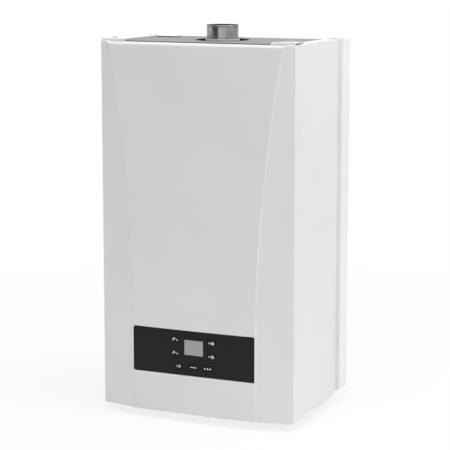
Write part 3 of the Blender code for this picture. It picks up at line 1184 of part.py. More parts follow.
def build_fan():
    """Fan housing with its suction box and outlet, the motor on its front and the wheel inside."""
    suction_back = FAN_BACK_Y + SUCTION_DEPTH
    half = SUCTION_WIDTH / 2
    foot = block((-half - FAN_FOOT, FAN_FRONT_Y, FAN_BOTTOM),
                 (half + FAN_FOOT, suction_back + FAN_FOOT / 2, FAN_BOTTOM + FAN_FOOT))
    housing = add_part("fan_housing", ALUMINIUM, foot)
    centre = (0.0, FAN_AXIS_Z)
    outer = FAN_RADIUS
    join(housing, turned([(outer, FAN_FRONT_Y), (outer, FAN_BACK_Y)], "Y", centre))
    join(housing, block((-half / 2, FAN_FRONT_Y + FAN_WALL, FAN_BOTTOM + FAN_FOOT / 2),
                        (half / 2, FAN_BACK_Y - FAN_WALL, FAN_AXIS_Z - FAN_RADIUS / 2)))
    join(housing, block((-half, FAN_BACK_Y - FAN_WALL, FAN_BOTTOM + FAN_FOOT / 2),
                        (half, suction_back, FAN_BOTTOM + SUCTION_HEIGHT)))
    join(housing, block((-half / 2, FAN_FRONT_Y + FAN_WALL / 2, FAN_AXIS_Z),
                        (half / 2, FAN_BACK_Y - FAN_WALL / 2, FAN_TOP - FAN_COLLAR / 2)))
    join(housing, turned([(FLUE_RADIUS, FAN_TOP - FAN_COLLAR), (FLUE_RADIUS, FAN_TOP)], "Z", (0.0, FLUE_Y)))
    cut(housing, turned([(outer - FAN_WALL, FAN_FRONT_Y - OVERRUN),
                         (outer - FAN_WALL, FAN_BACK_Y - FAN_WALL)], "Y", centre))
    cut(housing, turned([(FAN_EYE_RADIUS, FAN_BACK_Y - FAN_WALL - OVERRUN / 2),
                         (FAN_EYE_RADIUS, FAN_BACK_Y + OVERRUN)], "Y", centre))
    cut(housing, block((-half + FAN_WALL, FAN_BACK_Y + OVERRUN / 4, FAN_BOTTOM - OVERRUN),
                       (half - FAN_WALL, suction_back - FAN_WALL, FAN_BOTTOM + SUCTION_HEIGHT - FAN_WALL)))
    cut(housing, turned([(FAN_BORE_RADIUS, FAN_AXIS_Z + FAN_RADIUS / 2),
                         (FAN_BORE_RADIUS, FAN_TOP + OVERRUN)],
                        "Z", (0.0, FLUE_Y)))
    plate_back = FAN_FRONT_Y - GAP
    motor_front = plate_back - FAN_PLATE - FAN_MOTOR_LENGTH
    profile = [(FAN_MOTOR_RADIUS, motor_front), (FAN_MOTOR_RADIUS, plate_back - FAN_PLATE),
               (outer, plate_back - FAN_PLATE), (outer, plate_back),
               (SHAFT_RADIUS + GAP, plate_back), (SHAFT_RADIUS + GAP, motor_front + FAN_PLATE)]
    add_part("fan_motor", CAST_IRON, turned(profile, "Y", centre))
    disc_front = FAN_FRONT_Y + FAN_WALL
    blades = [disc_front + IMPELLER_DISC / 2, disc_front + IMPELLER_WIDTH]
    outline = []
    for i in range(IMPELLER_BLADES):
        for radius, offset in ((IMPELLER_HUB_RADIUS, -BLADE_SHARE), (IMPELLER_RADIUS, -BLADE_SHARE / 3),
                               (IMPELLER_RADIUS, BLADE_SHARE / 3), (IMPELLER_HUB_RADIUS, BLADE_SHARE)):
            turn = 2 * math.pi * (i + offset) / IMPELLER_BLADES
            outline.append((centre[0] + radius * math.cos(turn), centre[1] + radius * math.sin(turn)))
    origin = along("Y", centre[0], centre[1], FAN_FRONT_Y)
    wheel = add_part("fan_impeller", ALUMINIUM, prism(outline, "Y", *blades), origin)
    shaft_end = motor_front + 2 * FAN_PLATE
    join(wheel, turned([(SHAFT_RADIUS, shaft_end), (SHAFT_RADIUS, disc_front), (IMPELLER_RADIUS, disc_front),
                        (IMPELLER_RADIUS, disc_front + IMPELLER_DISC)], "Y", centre))


def build_pressure_switch():
    """Round air pressure switch on the chamber's right wall, with two hose spigots."""
    seat = CHAMBER_HALF - SHEET - GAP
    face = seat - SWITCH_THICKNESS
    centre = (FLUE_Y, CHAMBER_TOP - SWITCH_DROP)
    profile = [(SWITCH_RADIUS * 2 / 3, face), (SWITCH_RADIUS, face + SWITCH_THICKNESS / 3),
               (SWITCH_RADIUS, seat - SWITCH_THICKNESS / 4),
               (SWITCH_RADIUS / 2, seat)]
    switch = add_part("air_pressure_switch", GREY_PLASTIC, turned(profile, "X", centre))
    for side in (-1, 1):
        place = (centre[0] + side * SWITCH_RADIUS / 3, centre[1])
        join(switch, turned([(SPIGOT_RADIUS, face - SPIGOT_LENGTH), (SPIGOT_RADIUS, face + SPIGOT_RADIUS)],
                            "X", place, SMALL_STEPS // 2))


def dished(radius, front, back):
    """Profile of the vessel's skin from its flat front round the rim to its flat back."""
    return [(radius - 2 * VESSEL_EDGE, front), (radius - VESSEL_EDGE / 2, front + VESSEL_EDGE / 2),
            (radius, front + VESSEL_EDGE), (radius, back - VESSEL_EDGE),
            (radius - VESSEL_EDGE / 2, back - VESSEL_EDGE / 2), (radius - 2 * VESSEL_EDGE, back)]


def build_vessel():
    """Hollow round expansion vessel with its valve hole in front, and its tube to the return block."""
    back = -SHEET - GAP
    front = back - VESSEL_THICKNESS
    centre = (0.0, TOP_Z - VESSEL_DROP)
    seam = back - VESSEL_THICKNESS / 2
    outside = dished(VESSEL_RADIUS, front, back)
    inside = dished(VESSEL_RADIUS - VESSEL_WALL, front + VESSEL_WALL, back - VESSEL_WALL)
    valve = [(VESSEL_VALVE_RADIUS, front + VESSEL_WALL), (VESSEL_VALVE_RADIUS, front)]
    add_part("expansion_vessel", RED_PAINT, turned(list(reversed(inside)) + valve + outside, "Y", centre,
                                                   2 * ROUND_STEPS))
    start_z = centre[1] - VESSEL_RADIUS - GAP
    turn_z = start_z - VESSEL_TUBE_TURN
    end_z = (BLOCK_BOTTOM + BLOCK_TOP) / 2
    corners = [(0.0, seam, start_z), (0.0, seam, turn_z), (VESSEL_TUBE_X, seam, turn_z),
               (VESSEL_TUBE_X, seam, end_z), (VESSEL_TUBE_X, PORT_Y, end_z),
               (BLOCK_OUTER + GAP, PORT_Y, end_z)]
    route = smooth_route(corners, VESSEL_TUBE_BEND, 3)
    add_part("vessel_tube", STEEL, tube(route, VESSEL_TUBE_RADIUS, SMALL_STEPS * 2 // 3))


def build_connection_plate():
    """Bottom plate with an upturned front edge and the five pipe holes and the gland's hole."""
    half = HALF_WIDTH - PANEL_FLANGE - GAP
    outline = [(PLATE_FRONT_Y, PLATE_BOTTOM), (PLATE_BACK_Y, PLATE_BOTTOM),
               (PLATE_BACK_Y, PLATE_BOTTOM + PLATE_FLANGE),
               (PLATE_BACK_Y - PLATE_SHEET, PLATE_BOTTOM + PLATE_FLANGE),
               (PLATE_BACK_Y - PLATE_SHEET, PLATE_TOP),
               (PLATE_FRONT_Y + PLATE_SHEET, PLATE_TOP),
               (PLATE_FRONT_Y + PLATE_SHEET, PLATE_BOTTOM + PLATE_FLANGE),
               (PLATE_FRONT_Y, PLATE_BOTTOM + PLATE_FLANGE)]
    plate = add_part("connection_plate", ZINC, prism(outline, "X", -half, half))
    holes = []
    for x, radius in plate_holes():
        holes.append(turned([(radius, PLATE_BOTTOM - OVERRUN / 2), (radius, PLATE_TOP + OVERRUN / 2)], "Z",
                            (x, PORT_Y), SMALL_STEPS))
    cut(plate, joined(*holes))


def plate_holes():
    """X and radius of every hole of the connection plate."""
    ports = [(side * 2 * PORT_SPACING, WIDE_PORT_RADIUS + PORT_PLAY) for side in (-1, 1)]
    ports += [(side * PORT_SPACING, SLIM_PORT_RADIUS + PORT_PLAY) for side in (-1, 1)]
    ports += [(side * TAP_X, TAP_NECK_RADIUS + PORT_PLAY) for side in (-1, 1)]
    return ports + [(0.0, GAS_INLET_RADIUS + PORT_PLAY), (-GLAND_X, GLAND_RADIUS + GAP)]


def hydraulic_block(name, side):
    """Brass block with a wide and a slim port below and the neck of a tap between them."""
    ends = sorted((side * BLOCK_INNER, side * BLOCK_OUTER))
    outline = rounded((ends[1] - ends[0]) / 2, BLOCK_DEPTH / 2, BLOCK_EDGE,
                      ((ends[0] + ends[1]) / 2, PORT_Y), 2)
    body = add_part(name, BRASS, prism(outline, "Z", BLOCK_BOTTOM, BLOCK_TOP))
    ports = ((side * 2 * PORT_SPACING, WIDE_PORT_RADIUS, PORT_END),
             (side * PORT_SPACING, SLIM_PORT_RADIUS, PORT_END),
             (side * TAP_X, TAP_NECK_RADIUS, PLATE_BOTTOM - TAP_NECK_DROP))
    join(body, joined(*[turned([(radius, end), (radius, BLOCK_BOTTOM + OVERRUN)], "Z", (x, PORT_Y),
                               SMALL_STEPS + 4)
                        for x, radius, end in ports]))
    bores = [turned([(radius - PORT_BORE_WALL, end - OVERRUN),
                     (radius - PORT_BORE_WALL, end + PORT_BORE_DEPTH)], "Z", (x, PORT_Y), SMALL_STEPS)
             for x, radius, end in ports[:2]]
    neck_end = ports[2][2]
    bores.append(turned([(SPINDLE_RADIUS + GAP, neck_end - OVERRUN),
                         (SPINDLE_RADIUS + GAP, neck_end + SPINDLE_LENGTH + GAP)],
                        "Z", (side * TAP_X, PORT_Y), SMALL_STEPS))
    cut(body, joined(*bores))
    return body


def build_return_side():
    """Return block with the safety valve in front and the filling tap's knob below."""
    body = hydraulic_block("return_manifold", 1)
    cut(body, turned([(SPINDLE_RADIUS + GAP, BLOCK_FRONT_Y - OVERRUN),
                      (SPINDLE_RADIUS + GAP, BLOCK_FRONT_Y + OVERRUN)],
                     "Y", (SAFETY_X, (BLOCK_BOTTOM + BLOCK_TOP) / 2), SMALL_STEPS))
    centre = (SAFETY_X, (BLOCK_BOTTOM + BLOCK_TOP) / 2)
    seat = BLOCK_FRONT_Y - GAP
    face = seat - SAFETY_BODY_LENGTH
    body_profile = [(SAFETY_BODY_RADIUS, seat), (SAFETY_BODY_RADIUS, face), (SPINDLE_RADIUS + GAP, face),
                    (SPINDLE_RADIUS + GAP, face + SPINDLE_LENGTH)]
    add_part("safety_valve", BRASS, turned(body_profile, "Y", centre, SMALL_STEPS + 4))
    knob_back = face - GAP
    origin = along("Y", centre[0], centre[1], knob_back)
    knob = add_part("safety_knob", RED_PLASTIC, prism(lobed(KNOB_RADIUS, centre, KNOB_LOBES), "Y",
                                                      knob_back - KNOB_LENGTH, knob_back), origin)
    join(knob, turned([(SPINDLE_RADIUS, knob_back - KNOB_LENGTH / 2),
                       (SPINDLE_RADIUS, face + SPINDLE_LENGTH - GAP)], "Y", centre, SMALL_STEPS))


def build_tap_knob(name, finish, side):
    """Hand knob of a tap below the connection plate, on its spindle."""
    centre = (side * TAP_X, PORT_Y)
    top = PLATE_BOTTOM - TAP_NECK_DROP - GAP
    origin = along("Z", centre[0], centre[1], top)
    knob = add_part(name, finish, prism(lobed(TAP_KNOB_RADIUS, centre, KNOB_LOBES), "Z",
                                        top - TAP_KNOB_LENGTH, top), origin)
    join(knob, turned([(SPINDLE_RADIUS, top - TAP_KNOB_LENGTH / 2), (SPINDLE_RADIUS, top + SPINDLE_LENGTH)],
                      "Z", centre, SMALL_STEPS))


def build_pump():
    """Pump volute on the return block, its motor in front, the wheel between and the air vent on top."""
    centre = (PUMP_X, PUMP_AXIS_Z)
    body = add_part("pump_body", CAST_IRON, turned([(PUMP_RADIUS, PUMP_FRONT_Y),
                                                    (PUMP_RADIUS, PUMP_BACK_Y - BLOCK_EDGE),
                                                    (PUMP_RADIUS - BLOCK_EDGE, PUMP_BACK_Y)], "Y", centre))
    join(body, turned([(PUMP_BOSS_RADIUS, BLOCK_TOP + GAP), (PUMP_BOSS_RADIUS, PUMP_OUTLET_Z)], "Z",
                      (PUMP_X, PORT_Y), SMALL_STEPS))
    vent_x = PUMP_X - VENT_OFFSET
    vent_seat = PUMP_AXIS_Z + PUMP_RADIUS
    join(body, turned([(VENT_RADIUS, PUMP_AXIS_Z + PUMP_RADIUS / 2), (VENT_RADIUS, vent_seat)], "Z",
                      (vent_x, PORT_Y), SMALL_STEPS))
    cut(body, turned([(PUMP_CAVITY_RADIUS, PUMP_FRONT_Y - OVERRUN),
                      (PUMP_CAVITY_RADIUS, PUMP_FRONT_Y + PUMP_CAVITY_DEPTH)], "Y", centre))
    add_part("air_vent", BRASS, turned([(VENT_RADIUS, vent_seat + GAP),
                                        (VENT_RADIUS, vent_seat + VENT_HEIGHT - VENT_CAP_HEIGHT),
                                        (VENT_CAP_RADIUS, vent_seat + VENT_HEIGHT - VENT_CAP_HEIGHT),
                                        (VENT_CAP_RADIUS, vent_seat + VENT_HEIGHT)], "Z", (vent_x, PORT_Y),
                                        SMALL_STEPS))
    back = PUMP_FRONT_Y - GAP
    front = back - PUMP_MOTOR_LENGTH
    profile = [(PUMP_MOTOR_RADIUS * 3 / 4, front), (PUMP_MOTOR_RADIUS, front + PUMP_FLANGE),
               (PUMP_MOTOR_RADIUS, back - PUMP_FLANGE),
               (PUMP_RADIUS, back - PUMP_FLANGE), (PUMP_RADIUS, back), (SHAFT_RADIUS + GAP, back),
               (SHAFT_RADIUS + GAP, back - PUMP_SHAFT_LENGTH - GAP)]
    motor = add_part("pump_motor", ALUMINIUM, turned(profile, "Y", centre))
    box_z = PUMP_AXIS_Z + PUMP_MOTOR_RADIUS * 3 / 4
    join(motor, block((PUMP_X - PUMP_BOX_WIDTH / 2, front + PUMP_FLANGE, box_z),
                      (PUMP_X + PUMP_BOX_WIDTH / 2, front + PUMP_FLANGE + PUMP_BOX_LENGTH,
                       box_z + PUMP_BOX_HEIGHT)))
    wheel_front = PUMP_FRONT_Y + (PUMP_CAVITY_DEPTH - PUMP_WHEEL_WIDTH) / 2
    wheel = [(SHAFT_RADIUS, back - PUMP_SHAFT_LENGTH), (SHAFT_RADIUS, wheel_front),
             (PUMP_WHEEL_RADIUS, wheel_front),
             (PUMP_WHEEL_RADIUS, wheel_front + PUMP_WHEEL_WIDTH / 3),
             (PUMP_WHEEL_RADIUS / 2, wheel_front + PUMP_WHEEL_WIDTH)]
    add_part("pump_impeller", GREY_PLASTIC, turned(wheel, "Y", centre),
             along("Y", centre[0], centre[1], PUMP_FRONT_Y))


def build_flow_side():
    """Flow block with the diverter valve: collar, stem and motor."""
    body = hydraulic_block("flow_manifold", -1)
    place = (-DIVERTER_X, PORT_Y)
    collar_top = BLOCK_TOP + DIVERTER_COLLAR_HEIGHT
    join(body, turned([(DIVERTER_COLLAR_RADIUS, BLOCK_TOP - OVERRUN), (DIVERTER_COLLAR_RADIUS, collar_top)],
                      "Z", place, SMALL_STEPS + 4))
    bore = STEM_DISC_RADIUS + STEM_PLAY
    disc_low = BLOCK_TOP
    cut(body, turned([(bore, disc_low - STEM_TRAVEL - OVERRUN), (bore, collar_top + OVERRUN)], "Z", place,
                     SMALL_STEPS))
    motor_low = collar_top + GAP
    motor_profile = [(STEM_RADIUS + STEM_PLAY, motor_low + STEM_TOP + OVERRUN),
                     (STEM_RADIUS + STEM_PLAY, motor_low),
                     (DIVERTER_COLLAR_RADIUS, motor_low), (DIVERTER_MOTOR_RADIUS, motor_low + BLOCK_EDGE),
                     (DIVERTER_MOTOR_RADIUS, motor_low + DIVERTER_MOTOR_HEIGHT - BLOCK_EDGE),
                     (DIVERTER_MOTOR_RADIUS - BLOCK_EDGE, motor_low + DIVERTER_MOTOR_HEIGHT)]
    add_part("diverter_motor", DARK_PLASTIC, turned(motor_profile, "Z", place, SMALL_STEPS + 4))
    stem = [(STEM_DISC_RADIUS, disc_low), (STEM_DISC_RADIUS, disc_low + STEM_DISC_HEIGHT),
            (STEM_RADIUS, disc_low + STEM_DISC_HEIGHT),
            (STEM_RADIUS, motor_low + STEM_TOP)]
    add_part("diverter_stem", STEEL, turned(stem, "Z", place, SMALL_STEPS), (place[0], place[1], disc_low))


def build_plate_exchanger():
    """Brazed plate heat exchanger behind the blocks, its plates shown as ridges."""
    front = BLOCK_BACK_Y + GAP
    pitch = HX_DEPTH / HX_PLATES
    half = HX_HALF
    outline = []
    for i in range(HX_PLATES):
        outline += [(-half + HX_GROOVE, front + pitch * i), (-half, front + pitch * (i + 0.5))]
    outline += [(-half + HX_GROOVE, front + HX_DEPTH), (half - HX_GROOVE, front + HX_DEPTH)]
    for i in reversed(range(HX_PLATES)):
        outline += [(half, front + pitch * (i + 0.5)), (half - HX_GROOVE, front + pitch * i)]
    add_part("plate_exchanger", STEEL, prism(outline, "Z", BLOCK_BOTTOM, BLOCK_BOTTOM + HX_HEIGHT))


def build_gas_line():
    """Gas inlet, the valve block with its two coils, and the pipe up to the nozzle rail."""
    valve_low = BASE_Z + GAS_VALVE_BOTTOM
    valve_high = valve_low + GAS_VALVE_HEIGHT
    inlet = [(GAS_INLET_RADIUS, PORT_END), (GAS_INLET_RADIUS, valve_low - GAP),
             (GAS_INLET_RADIUS - PORT_BORE_WALL, valve_low - GAP),
             (GAS_INLET_RADIUS - PORT_BORE_WALL, PORT_END)]
    add_part("gas_inlet_pipe", BRASS, turned(inlet, "Z", (0.0, PORT_Y), SMALL_STEPS + 4, ring=True))
    front, back = PORT_Y - GAS_VALVE_DEPTH / 2, PORT_Y + GAS_VALVE_DEPTH / 2
    body = add_part("gas_valve", ALUMINIUM, block((-GAS_VALVE_WIDTH / 2, front, valve_low),
                                                  (GAS_VALVE_WIDTH / 2, back, valve_high)))
    for side in (-1, 1):
        place = (side * (GAS_VALVE_WIDTH / 2 - COIL_RADIUS), (valve_low + valve_high) / 2)
        join(body, turned([(COIL_RADIUS, front - COIL_LENGTH), (COIL_RADIUS, front + OVERRUN)], "Y", place,
                          SMALL_STEPS + 4))
    rail_low = BURNER_BOTTOM + BURNER_BASE
    turn_z = valve_high + GAS_TURN
    corners = [(0.0, PORT_Y, valve_high + GAP), (0.0, PORT_Y, turn_z), (0.0, gas_riser_y(), turn_z),
               (0.0, gas_riser_y(), rail_low - GAP)]
    add_part("gas_pipe", COPPER, tube(smooth_route(corners, TUBE_BEND), GAS_TUBE_RADIUS))


def build_risers():
    """Copper flow and return pipes between the blocks and the heat exchanger."""
    port_end = STACK_HALF + PORT_REACH + GAP
    turn_z = CHAMBER_BOTTOM - RISER_TURN
    for name, side, start_x, start_z in (("flow_pipe", -1, FLOW_PORT_X, BLOCK_TOP),
                                         ("return_pipe", 1, PUMP_X, PUMP_OUTLET_Z)):
        low_turn = turn_z - TUBE_BEND
        corners = [(side * start_x, PORT_Y, start_z + GAP), (side * start_x, PORT_Y, low_turn),
                   (side * RISER_X, TUBE_Y, turn_z), (side * RISER_X, TUBE_Y, TUBE_Z),
                   (side * port_end, TUBE_Y, TUBE_Z)]
        route = smooth_route(corners[:3], TUBE_RADIUS, 3)[:-1] + smooth_route(corners[1:], TUBE_RADIUS, 3)[1:]
        add_part(name, COPPER, tube(route, TUBE_RADIUS))


def build_cable_gland():
    """Rubber gland in the connection plate for the mains lead."""
    low = PLATE_BOTTOM - GAP - GLAND_LENGTH / 3
    profile = [(GLAND_FLANGE, low), (GLAND_FLANGE, PLATE_BOTTOM - GAP), (GLAND_RADIUS, PLATE_BOTTOM - GAP),
               (GLAND_RADIUS, low + GLAND_LENGTH), (GLAND_BORE, low + GLAND_LENGTH), (GLAND_BORE, low)]
    add_part("cable_gland", DARK_PLASTIC, turned(profile, "Z", (-GLAND_X, PORT_Y), SMALL_STEPS, ring=True))


def build_casing():
    """Chassis and fixed sheets."""
    build_rear_frame()
    build_side_panels()
    build_top_plate()
    build_front_rail()
    build_connection_plate()
    build_cable_gland()


def build_cover():
    """Everything that swings with the front cover, about the rear feet of its hooks."""
    pivot = add_pivot("cover_pivot", (0.0, HOOK_BACK_Y, HOOK_FOOT_Z))
    build_front_cover(pivot)
    build_cover_hooks(pivot)
    build_cover_screws(pivot)


def build_controls():
    """Everything that tilts with the control box."""
    pivot = add_pivot("control_pivot", (0.0, CONTROL_PIN_Y, CONTROL_PIN_Z))
    build_control_box(pivot)
    build_control_lid(pivot)
    build_circuit_board(pivot)
    build_fascia(pivot)
    build_display(pivot)
    build_keys(pivot)


def build_combustion():
    """Sealed chamber with the burner, heat exchanger, hood and fan, and the flue."""
    build_flue()
    build_air_chamber()
    build_chamber_cover()
    build_burner()
    build_combustion_box()
    build_heat_exchanger()
    build_flue_hood()
    build_fan()
    build_pressure_switch()


def build_hydraulics():
    """Water and gas parts under the chamber, and the vessel behind it."""
    build_return_side()
    build_flow_side()
    build_pump()
    build_plate_exchanger()
    build_gas_line()
    build_risers()
    build_vessel()
    build_tap_knob("fill_knob", BLACK_PLASTIC, 1)
    build_tap_knob("drain_knob", GREY_PLASTIC, -1)


def main():
    """Build the whole boiler."""
    clear_scene()
    build_casing()
    build_cover()
    build_controls()
    build_combustion()
    build_hydraulics()


main()
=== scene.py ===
"""Looks of a wall-hung gas boiler, built round the frame of its solids.

Metres, +Z up. The wall is the plane Y = 0 and the boiler stands in front of it, towards -Y.
"""

from __future__ import annotations

import json
import logging
import math
from dataclasses import dataclass, field
from enum import Enum

import bmesh
import bpy
import numpy as np
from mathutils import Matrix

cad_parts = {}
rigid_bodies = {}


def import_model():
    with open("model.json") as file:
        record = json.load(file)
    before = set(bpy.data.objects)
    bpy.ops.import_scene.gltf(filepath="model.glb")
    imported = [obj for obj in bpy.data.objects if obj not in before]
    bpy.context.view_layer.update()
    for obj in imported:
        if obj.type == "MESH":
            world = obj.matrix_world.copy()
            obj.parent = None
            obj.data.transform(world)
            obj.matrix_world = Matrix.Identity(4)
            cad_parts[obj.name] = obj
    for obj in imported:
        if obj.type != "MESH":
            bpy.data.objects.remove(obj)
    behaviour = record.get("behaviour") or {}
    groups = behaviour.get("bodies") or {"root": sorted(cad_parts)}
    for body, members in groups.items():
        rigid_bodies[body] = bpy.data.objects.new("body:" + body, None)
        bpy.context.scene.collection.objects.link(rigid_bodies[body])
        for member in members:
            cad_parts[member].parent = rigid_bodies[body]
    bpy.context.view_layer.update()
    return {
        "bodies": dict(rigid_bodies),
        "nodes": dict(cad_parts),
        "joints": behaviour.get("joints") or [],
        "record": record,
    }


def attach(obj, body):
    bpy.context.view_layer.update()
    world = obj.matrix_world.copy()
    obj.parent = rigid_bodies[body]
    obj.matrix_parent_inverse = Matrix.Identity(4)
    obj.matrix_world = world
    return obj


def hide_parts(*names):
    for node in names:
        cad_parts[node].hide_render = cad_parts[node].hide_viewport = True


Array = np.ndarray
Colour = tuple[float, float, float]
Pair = tuple[float, float]
Place = tuple[float, float, float]

LOG = logging.getLogger("boiler")
MM = 0.001
TINY = 1e-9
MERGE = 1e-6
# Largest share of an edge that one rounded corner takes up, and the widest half turn that it rounds.
ARC_REACH = 0.49
WIDEST_HALF_TURN = 1.5
# Angles above which an edge is kept sharp or rounded, and below which faces count as one flat.
SHARP = math.radians(38)
ROUNDED = math.radians(32)
FLAT = math.radians(0.5)
# Strokes printed on the keys: their corner radius, the pieces of a corner and of a quarter disc, and
# the points along a wave.
STROKE_CORNER = 0.2 * MM
STROKE_STEPS = 2
DISC_STEPS = 4
WAVE_POINTS = 13
# Pieces of the rounding on the edges of an inner part.
EDGE_PIECES = 2
# Sockets of a mixing node: the share, the two colours and the mixed one.
MIX_SHARE, MIX_FIRST, MIX_SECOND, MIX_RESULT = 0, 6, 7, 2
# Part of a noise's range that most of its values lie in.
PATTERN_MIDDLE = (0.3, 0.7)
SIDES = ((-1, "left"), (1, "right"))


class Axis(Enum):
    """Direction along which a flat outline is carried."""

    X = (2, 0, 1)
    Y = (0, 2, 1)
    Z = (0, 1, 2)

    def place(self, flat: Array, level: Array) -> Array:
        """Puts flat points at a level.

        Args:
            flat: points (..., 2): Y and Z along X, X and Z along Y, X and Y along Z.
            level: their places along the axis.

        Returns:
            Points (..., 3).
        """
        level = np.broadcast_to(np.asarray(level, float), flat.shape[:-1])
        return np.stack([flat[..., 0], flat[..., 1], level], -1)[..., list(self.value)]


def unit(vectors: Array) -> Array:
    """Divides each vector along the last axis by its length."""
    return vectors / np.maximum(np.linalg.norm(vectors, axis=-1, keepdims=True), TINY)


def filleted(corners: Array, radius: Array | float, steps: int = 4, closed: bool = False) -> Array:
    """Rounds the corners of polylines with circular arcs.

    A corner C that turns by the angle a is left at S and rejoined at E, both radius times tan(a / 2)
    from it, and the arc is (1-t)^2 S + 2t(1-t) w C + t^2 E over (1-t)^2 + 2t(1-t) w + t^2 with
    w = cos(a / 2).

    Args:
        corners: polylines (..., corners, dimensions).
        radius: radius of each corner, or of all.
        steps: pieces of each arc.
        closed: whether the last corner joins the first.

    Returns:
        Rounded polylines (..., points, dimensions).
    """
    corners = np.asarray(corners, float)
    back = np.roll(corners, 1, -2) - corners
    ahead = np.roll(corners, -1, -2) - corners
    reach = np.minimum(np.linalg.norm(back, axis=-1), np.linalg.norm(ahead, axis=-1)) * ARC_REACH
    back, ahead = unit(back), unit(ahead)
    cosine = np.clip(-(back * ahead).sum(-1), -1.0, 1.0)
    half = np.arccos(cosine) / 2
    wanted = np.broadcast_to(radius, half.shape) * np.tan(np.minimum(half, WIDEST_HALF_TURN))
    cut = np.minimum(wanted, reach)[..., None]
    first = (corners + back * cut)[..., None, :]
    last = (corners + ahead * cut)[..., None, :]
    share = np.linspace(0.0, 1.0, steps + 1)[:, None]
    weight = np.cos(half)[..., None, None] * 2 * share * (1 - share)
    arcs = (1 - share) ** 2 * first + weight * corners[..., None, :] + share ** 2 * last
    arcs = arcs / ((1 - share) ** 2 + weight + share ** 2)
    flat = arcs.reshape(*corners.shape[:-2], -1, corners.shape[-1])
    if closed:
        return flat
    inner = flat[..., steps + 1:-(steps + 1), :]
    return np.concatenate([corners[..., :1, :], inner, corners[..., -1:, :]], -2)


@dataclass(frozen=True)
class Outline:
    """Closed flat outline: anticlockwise corners, each rounded."""

    corners: tuple[Pair, ...]
    radius: float | tuple[float, ...] = 0.0
    steps: int = 4

    def at(self, inset: Array) -> Array:
        """Outline drawn inwards.

        Each edge moves along its inward normal and neighbours meet again: corner plus inset times
        (n1 + n2) / (1 + n1 . n2). Outer corner arcs shrink by the inset and inner ones grow.

        Args:
            inset: distances (k,), negative outwards.

        Returns:
            Points (k, n, 2).
        """
        corners = np.asarray(self.corners, float)
        inset = np.atleast_1d(np.asarray(inset, float))[:, None]
        edge = unit(np.roll(corners, -1, 0) - corners)
        normal = np.stack([-edge[:, 1], edge[:, 0]], -1)
        before = np.roll(normal, 1, 0)
        mitre = (before + normal) / (1 + (before * normal).sum(-1, keepdims=True))
        entry = np.roll(edge, 1, 0)
        turn = np.sign(entry[:, 0] * edge[:, 1] - entry[:, 1] * edge[:, 0])
        shifted = corners + mitre * inset[..., None]
        radius = np.maximum(np.broadcast_to(self.radius, turn.shape) - turn * inset, 0.0)
        return filleted(shifted, radius, self.steps, closed=True)


def box_outline(low: Pair, high: Pair, radius: float, steps: int = 4) -> Outline:
    """Outline of an upright rectangle with rounded corners, between its low and high corner."""
    return Outline((low, (high[0], low[1]), high, (low[0], high[1])), radius, steps)


def centred_outline(centre: Pair, half: Pair, radius: float, steps: int = 4) -> Outline:
    """Outline of an upright rectangle with rounded corners, centre plus and minus its half sizes.

    Args:
        centre: the rectangle's centre.
        half: half its width and half its height.
        radius: radius of its corners.
        steps: pieces of each corner's arc.

    Returns:
        The outline.
    """
    low = (centre[0] - half[0], centre[1] - half[1])
    high = (centre[0] + half[0], centre[1] + half[1])
    return box_outline(low, high, radius, steps)


def disc_outline(centre: Pair, radius: float, steps: int = 8) -> Outline:
    """Outline of a circle, as a square rounded as far as its corners' arcs reach."""
    return centred_outline(centre, (radius, radius), radius * 2 * ARC_REACH, steps)


def section(inner: float, outer: float, low: float, high: float) -> list[Pair]:
    """Corners of a rectangular section, each a (radius, level) pair."""
    return [(inner, low), (outer, low), (outer, high), (inner, high)]


def lathe(profile: Array, centre: Pair, axis: Axis, steps: int = 64) -> Array:
    """Surface of revolution: each (radius, level) of the profile turned round an axis.

    Args:
        profile: radius and level (k, 2).
        centre: the axis's place in its flat.
        axis: direction of the axis.
        steps: points round it.

    Returns:
        Points (k, steps, 3).
    """
    profile = np.asarray(profile, float)
    turn = np.arange(steps) * 2 * np.pi / steps
    ring = np.stack([np.cos(turn), np.sin(turn)], -1)
    flat = np.asarray(centre) + profile[:, None, :1] * ring
    return axis.place(flat, profile[:, 1:])


def banded(outline: Outline, profile: Array, axis: Axis) -> Array:
    """Outline carried along a profile: each (inset, level) pair gives one loop.

    Args:
        outline: the outline.
        profile: inset and level (k, 2).
        axis: direction of the levels.

    Returns:
        Points (k, n, 3).
    """
    profile = np.asarray(profile, float)
    return axis.place(outline.at(profile[:, 0]), profile[:, 1:])


